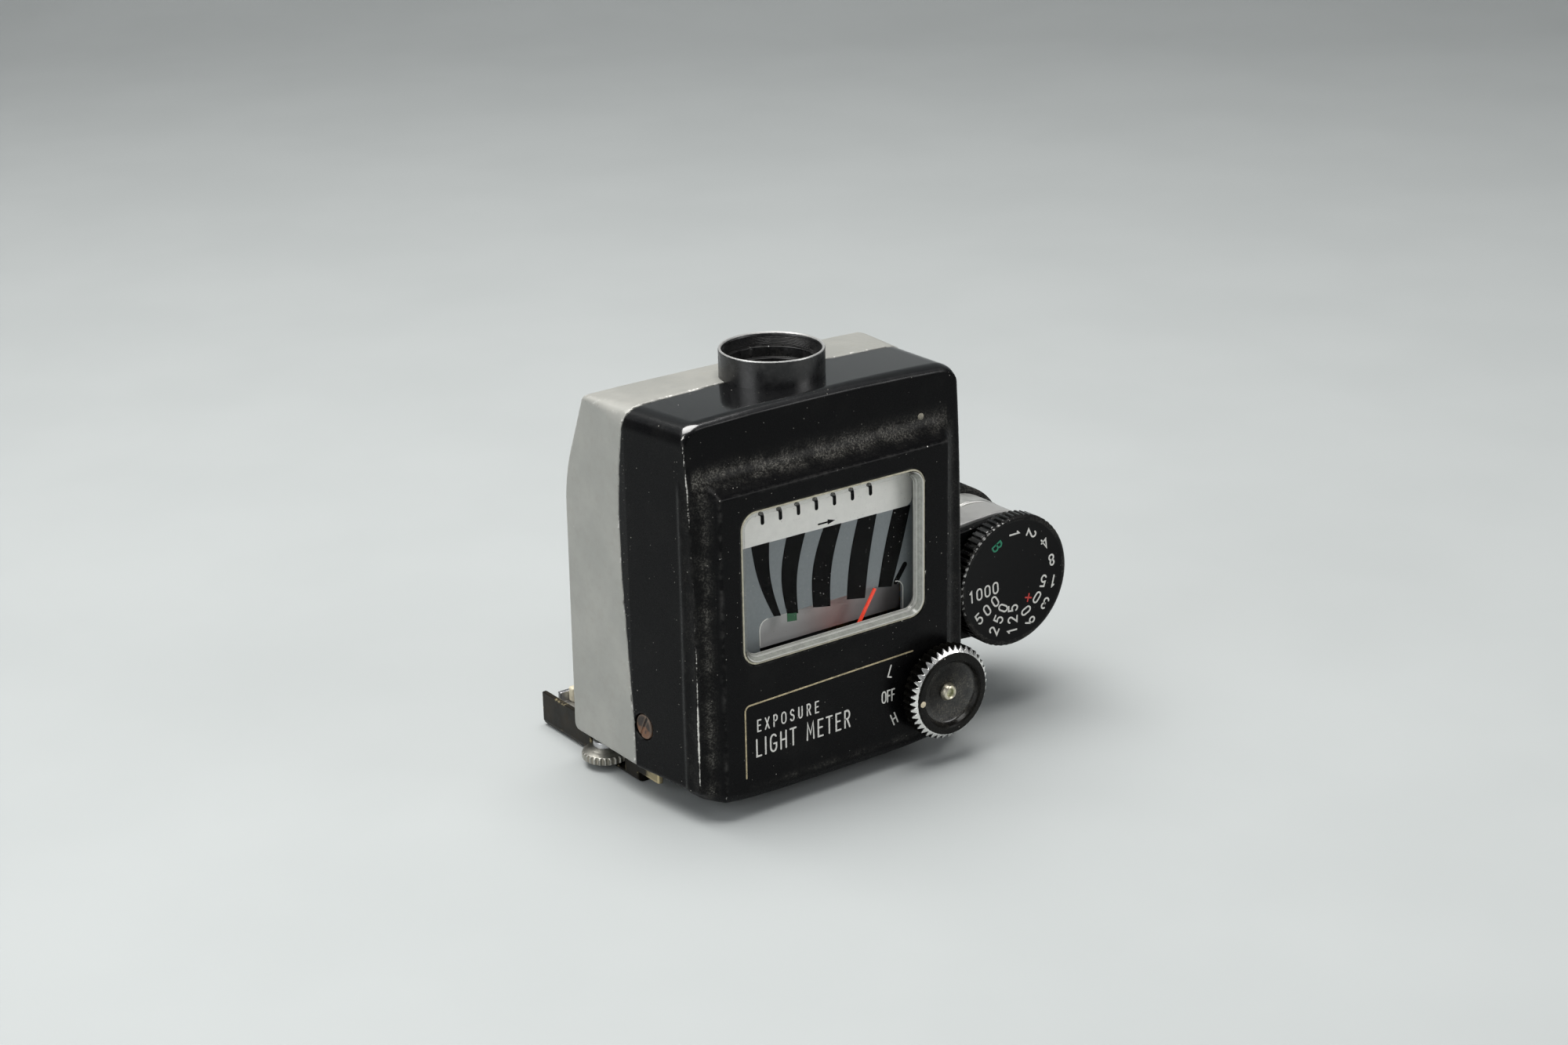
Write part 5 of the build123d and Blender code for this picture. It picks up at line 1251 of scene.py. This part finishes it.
def clamp():
    cut = ribs(26, 0.30, 0.52, 0.5)
    flutes = [(3.05, 0.95, 0.1), (3.6, 1.25, 0.12), (3.6, 1.6, 0), (3.6, 2.05, 0.12), (3.34, 2.32, 0.15)]
    neck = [(2.4, 2.62, 0.5), (1.35, 3.15, 0.4), (1.06, 3.6, 0.1), (0.92, 3.6, 0)]
    b = lathe(Build(), [(0.92, 0.95, 0)] + flutes + neck + [(0.92, 0.95, 0)], WHEEL, "z", 416,
              shape=lambda th, r, t: np.minimum(r, 3.62 - cut(th)) if r[0] > 2.9 else r)
    v = b.points()
    r = disc(v[:, 0], v[:, 1], WHEEL, 0)
    b.repaint(hollow=0.9 * ((r < 3.42) & (r > 3.2) & (v[:, 2] > 1.1) & (v[:, 2] < 2.1)))
    b.done("thumb_wheel_fluted", "clamp_screw", "nickel", "nickel", ["thumb_wheel"], 40)

    def jaw(x, y, z):
        sheet = slab(z, 3.0, 4.0)
        f = smax(rect(x, y, -21.5, 21.5, 34.0, 44.4, 0.5), sheet, 0.12)
        f = smin(f, smax(rect(x, y, -20.5, 20.5, 43.6, 44.4, 0.1), slab(z, 3.0, 5.6), 0.12), 0.15)
        f = smin(f, smax(rect(x, y, -21.5, -18.2, 26.6, 35.0, 0.3), sheet, 0.12), 0.2)
        f = smin(f, smax(disc(x, y, WHEEL, 1.85), sheet, 0.12), 0.2)
        return carve(f, disc(x, y, WHEEL, 1.04), 0.05)

    def pad(x, y, z):
        return smax(rect(x, y, -19.2, 19.2, 42.2, 43.58, 0.4), slab(z, 4.02, 6.4), 0.35)
    skin("clamp_jaw_sheet", jaw, (-24.3, 26.2, 2.8), (21.7, 44.6, 5.8), 0.22,
         "jaw", "steel", ["clamp_jaw"])
    skin("jaw_pad_moulded", pad, (-19.4, 42.0, 3.9), (19.4, 43.8, 6.6), 0.18,
         "jaw", "cream", ["jaw_pad"])


def screws():
    """Slotted heads with domed edges, and the washer under the dial's screw."""
    slot_angle = 0.5
    c, q = math.cos(slot_angle), math.sin(slot_angle)
    for name, (side, screw_z) in zip(("side_screw_left", "side_screw_right"), SIDE_SCREWS):
        def head(x, y, z):
            dy, dz = y - SCREW_Y, z - screw_z
            r = np.hypot(dy, dz)
            f = smax(r - 1.88, slab(side * x, 24.14, 24.70), 0.22)
            f = smin(f, smax(r - 0.95, slab(side * x, 20.6, 24.2), 0.1), 0.05)
            return carve(f, common(np.abs(dy * c + dz * q) - 0.2, 24.56 - side * x), 0.1)
        low_x, high_x = sorted((side * 20.4, side * 24.9))
        low, high = (low_x, SCREW_Y - 2.0, screw_z - 2.1), (high_x, SCREW_Y + 2.0, screw_z + 2.1)
        skin(name, head, low, high, 0.1, "housing", "rusty", ["side_screws"])

    def cap(x, y, z):
        r = disc(x, z, DIAL, 0)
        f = smax(r - 1.88, slab(y, 23.82, 24.68), 0.2)
        f = smin(f, smax(r - 0.7, slab(y, 17.8, 24.0), 0.1), 0.03)
        return carve(f, common(np.abs(z - DIAL[1]) - 0.25, 24.35 - y), 0.05)
    skin("shaft_screw_head", cap, (35.7, 17.6, 19.5), (39.8, 24.9, 23.6), 0.12,
         "dial", "steel", ["shaft_screw"])
    washer = [(0.74, 22.42, 0), (5.9, 22.42, 0.1), (5.9, 23.27, 0.05), (7.1, 23.27, 0.1), (7.2, 23.5, 0.1),
              (7.0, 23.8, 0.1), (0.74, 23.8, 0), (0.74, 22.42, 0)]
    b = lathe(Build(), washer, DIAL)
    b.done("ring_washer_turned", "dial", "steel", "steel", ["ring_washer"])


# ------------------------------------------------------- back and battery cover
def back():
    def saddle(x, y, z):
        half = [(11.7, 22.1), (19.3, 30.7), (23.3, 30.7)]
        f = path_distance(x, y, [(-u, v) for u, v in half[::-1]] + half) - 0.5
        f = smax(f, slab(z, 6.6, 55.6), 0.15)
        f = smax(f, shell_outer(x, y, z, 1.25), 0.1)
        return carve(f, disc(x, z, BATTERY, 8.26), 0.15)
    skin("saddle_plate_sheet", saddle, (-24.0, 21.4, 6.4), (24.0, 31.5, 55.8), 0.25,
         "housing", "black_inner", ["saddle_plate"])
    for k, z0 in enumerate((9.0, 49.0)):
        def pad(x, y, z):
            return smax(rect(x, z, -9.5, 9.5, z0, z0 + 3.0, 0.7), slab(y, 22.62, 23.4), 0.3)
        skin(f"saddle_pad_{k}", pad, (-9.7, 22.4, z0 - 0.2), (9.7, 23.6, z0 + 3.2), 0.16,
             "housing", "felt", ["saddle_pads"])

    def lid(x, y, z):
        r = disc(x, z, BATTERY, 0)
        f = smax(r - 8.2, slab(y, 21.32, 22.5), 0.25)
        coin_slot = common(np.abs(z - BATTERY[1]) - 0.75, np.abs(x - BATTERY[0]) - 4.6, 21.95 - y)
        f = carve(f, coin_slot, 0.12)
        return carve(f, common(np.abs(r - 6.9) - 0.18, 22.38 - y), 0.08)
    skin("battery_lid", lid, (-12.0, 21.1, 27.5), (5.0, 22.7, 44.5), 0.16,
         "coin_cover", "nickel", ["battery_cover"])


NODE_MATERIALS = {                  # nodes shown as they are in CAD
    "steel": "plate_screws movement_core chassis_screws dial_shaft gear_studs switch_shaft bracket_screws",
    "brass": "plate_posts movement_bridge jewel_screws hairspring dial_gear idler_gear speed_wheel wiper"
             " switch_contacts battery_contact bracket_spacers",
    "copper": "moving_coil cell_leads",
    "board": "resistor_track switch_stator circuit_board",
    "insulator": "switch_rotor resistors battery_cup",
    "nickel": "switch_bushing battery",
    "arm_grey": "chassis_plate", "cell_face": "cds_cell", "dark_steel": "wheel_stem",
    "baffle": "baffle", "magnet": "movement_magnet", "needle": "needle",
}


def dress_nodes():
    for mat, names in NODE_MATERIALS.items():
        for name in names.split():
            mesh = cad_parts[name].data
            mesh.materials.clear()
            mesh.materials.append(M[mat])


def front_print():
    """Switch letters, nameplate outline, two lines of generic words and the rivet."""
    b = Build()
    for text, x, z, tilt, squeeze in (("L", 9.62, 15.95, -20, 0.95), ("OFF", 9.25, 12.12, 0, 0.72),
                                      ("H", 10.22, 8.2, 22, 0.95)):
        u, w = slanted(math.radians(tilt))
        wide = text_width(text, 1.95 * (0.8 if text == "OFF" else 1.0), 0.12)
        lettering(b, text, 1.95, np.array([x, 0.0, z]) - u * wide / 2, u, w, FRONT[2], 0.23, 0.10,
                  squeeze=squeeze)
    lettering(b, "EXPOSURE", 1.9, (-14.6, 0.0, 14.0), *FRONT, 0.21, 0.62, squeeze=0.8)
    lettering(b, "LIGHT METER", 2.9, (-14.9, 0.0, 10.6), *FRONT, 0.26, 0.42, squeeze=0.78)
    b.done("front_letters", "housing", "ivory_plastic", "paint_white", (), 40)
    b = Build()
    corner = arc(-15.7, 16.65, 0.85, 0.85, 180, 95, 6)
    outline = [(-16.55, 6.4), (-16.55, 16.6)] + corner + [(0.0, 17.85), (13.7, 18.12)]
    stroke(b, outline, 0.24, (0, 0, 0), *FRONT, 0.02)
    b.done("nameplate_outline", "housing", "brass", "gold_line", (), 40)
    rivet = [(0, 2.75), (0.35, 2.78, 0.1), (0.55, 2.95, 0.1), (0.55, 3.6, 0), (0, 3.6)]
    lathe(Build(), rivet[::-1], (17.6, 52.7), n=24).done("front_rivet", "housing", "nickel", "rivet", (), 40)


# ---------------------------------------------------------------- studio, lens
def floor():
    """A level floor, in metres, that curves up into a wall behind the part."""
    bpy.ops.mesh.primitive_plane_add(size=1)
    sheet = bpy.context.object
    sheet.name = "floor"
    mesh = sheet.data
    mesh.clear_geometry()
    start, bend = 0.55, 0.45
    profile = [(-1.2, 0.0), (start, 0.0)]
    for step in range(1, 13):
        a = math.radians(90 * step / 12)
        profile.append((start + bend * math.sin(a), bend * (1 - math.cos(a))))
    profile.append((start + bend, 2.2))
    s, c = math.sin(BENCH_YAW), math.cos(BENCH_YAW)
    points = [(s * d + c * aside, c * d - s * aside, z) for d, z in profile for aside in (-3.0, 3.0)]
    faces = [[2 * k, 2 * k + 1, 2 * k + 3, 2 * k + 2] for k in range(len(profile) - 1)]
    mesh.from_pydata(points, [], faces)
    mesh.polygons.foreach_set("use_smooth", np.ones(len(mesh.polygons), bool))
    mesh.materials.append(M["floor"])


def panel(name, at, target, size, power, color=(1, 1, 1)):
    light = bpy.data.lights.new(name, "AREA")
    light.shape = "RECTANGLE"
    light.size, light.size_y = size
    light.energy = power
    light.color = color
    ob = bpy.data.objects.new(name, light)
    ob.location = at
    ob.rotation_mode = "QUATERNION"
    ob.rotation_quaternion = (Vector(target) - Vector(at)).to_track_quat("-Z", "Y")
    bpy.context.scene.collection.objects.link(ob)


def camera():
    lens = bpy.data.cameras.new("camera")
    lens.sensor_width = 36.0
    lens.lens = 3595.0 / 2000.0 * lens.sensor_width     # focal length of 3595 pixels in 2000
    lens.clip_start = 0.02
    lens.clip_end = 20
    cam = bpy.data.objects.new("camera", lens)
    bpy.context.scene.collection.objects.link(cam)
    pitch, roll = math.radians(20.507), math.radians(-1.007)
    s, c = math.sin(BENCH_YAW), math.cos(BENCH_YAW)
    forward = Vector((s * math.cos(pitch), c * math.cos(pitch), -math.sin(pitch)))
    level = Vector((c, -s, 0))
    above = level.cross(forward)
    right = level * math.cos(roll) + above * math.sin(roll)
    up = above * math.cos(roll) - level * math.sin(roll)
    at = Vector(put([(-224.7, -297.46, 180.98)])[0])
    cam.matrix_world = Matrix.Translation(at) @ Matrix((right, up, -forward)).transposed().to_4x4()
    bpy.context.scene.camera = cam


def studio():
    floor()
    world = bpy.data.worlds.new("studio")
    bpy.context.scene.world = world
    world.use_nodes = True
    color, strength = world.node_tree.nodes["Background"].inputs[:2]
    color.default_value = (0.93, 0.96, 1.0, 1)
    strength.default_value = 0.20
    panel("overhead", (-0.08, 0.08, 0.62), (0, 0, 0.02), (0.52, 0.6), 7.0, (1.0, 0.99, 0.97))
    panel("left_wall", (-0.62, -0.02, 0.26), (0, 0, 0.03), (0.35, 0.5), 1.7, (0.97, 0.99, 1.0))
    panel("front_right", (0.42, -0.60, 0.34), (0, 0, 0.03), (0.35, 0.4), 1.5)
    camera()
    bpy.context.scene.view_settings.view_transform = "Standard"


materials()
housing()
window()
scale()
speed_dial()
dial_arm()
collar_and_ring()
knob()
tube()
clip()
clamp()
screws()
back()
front_print()
dress_nodes()
studio()
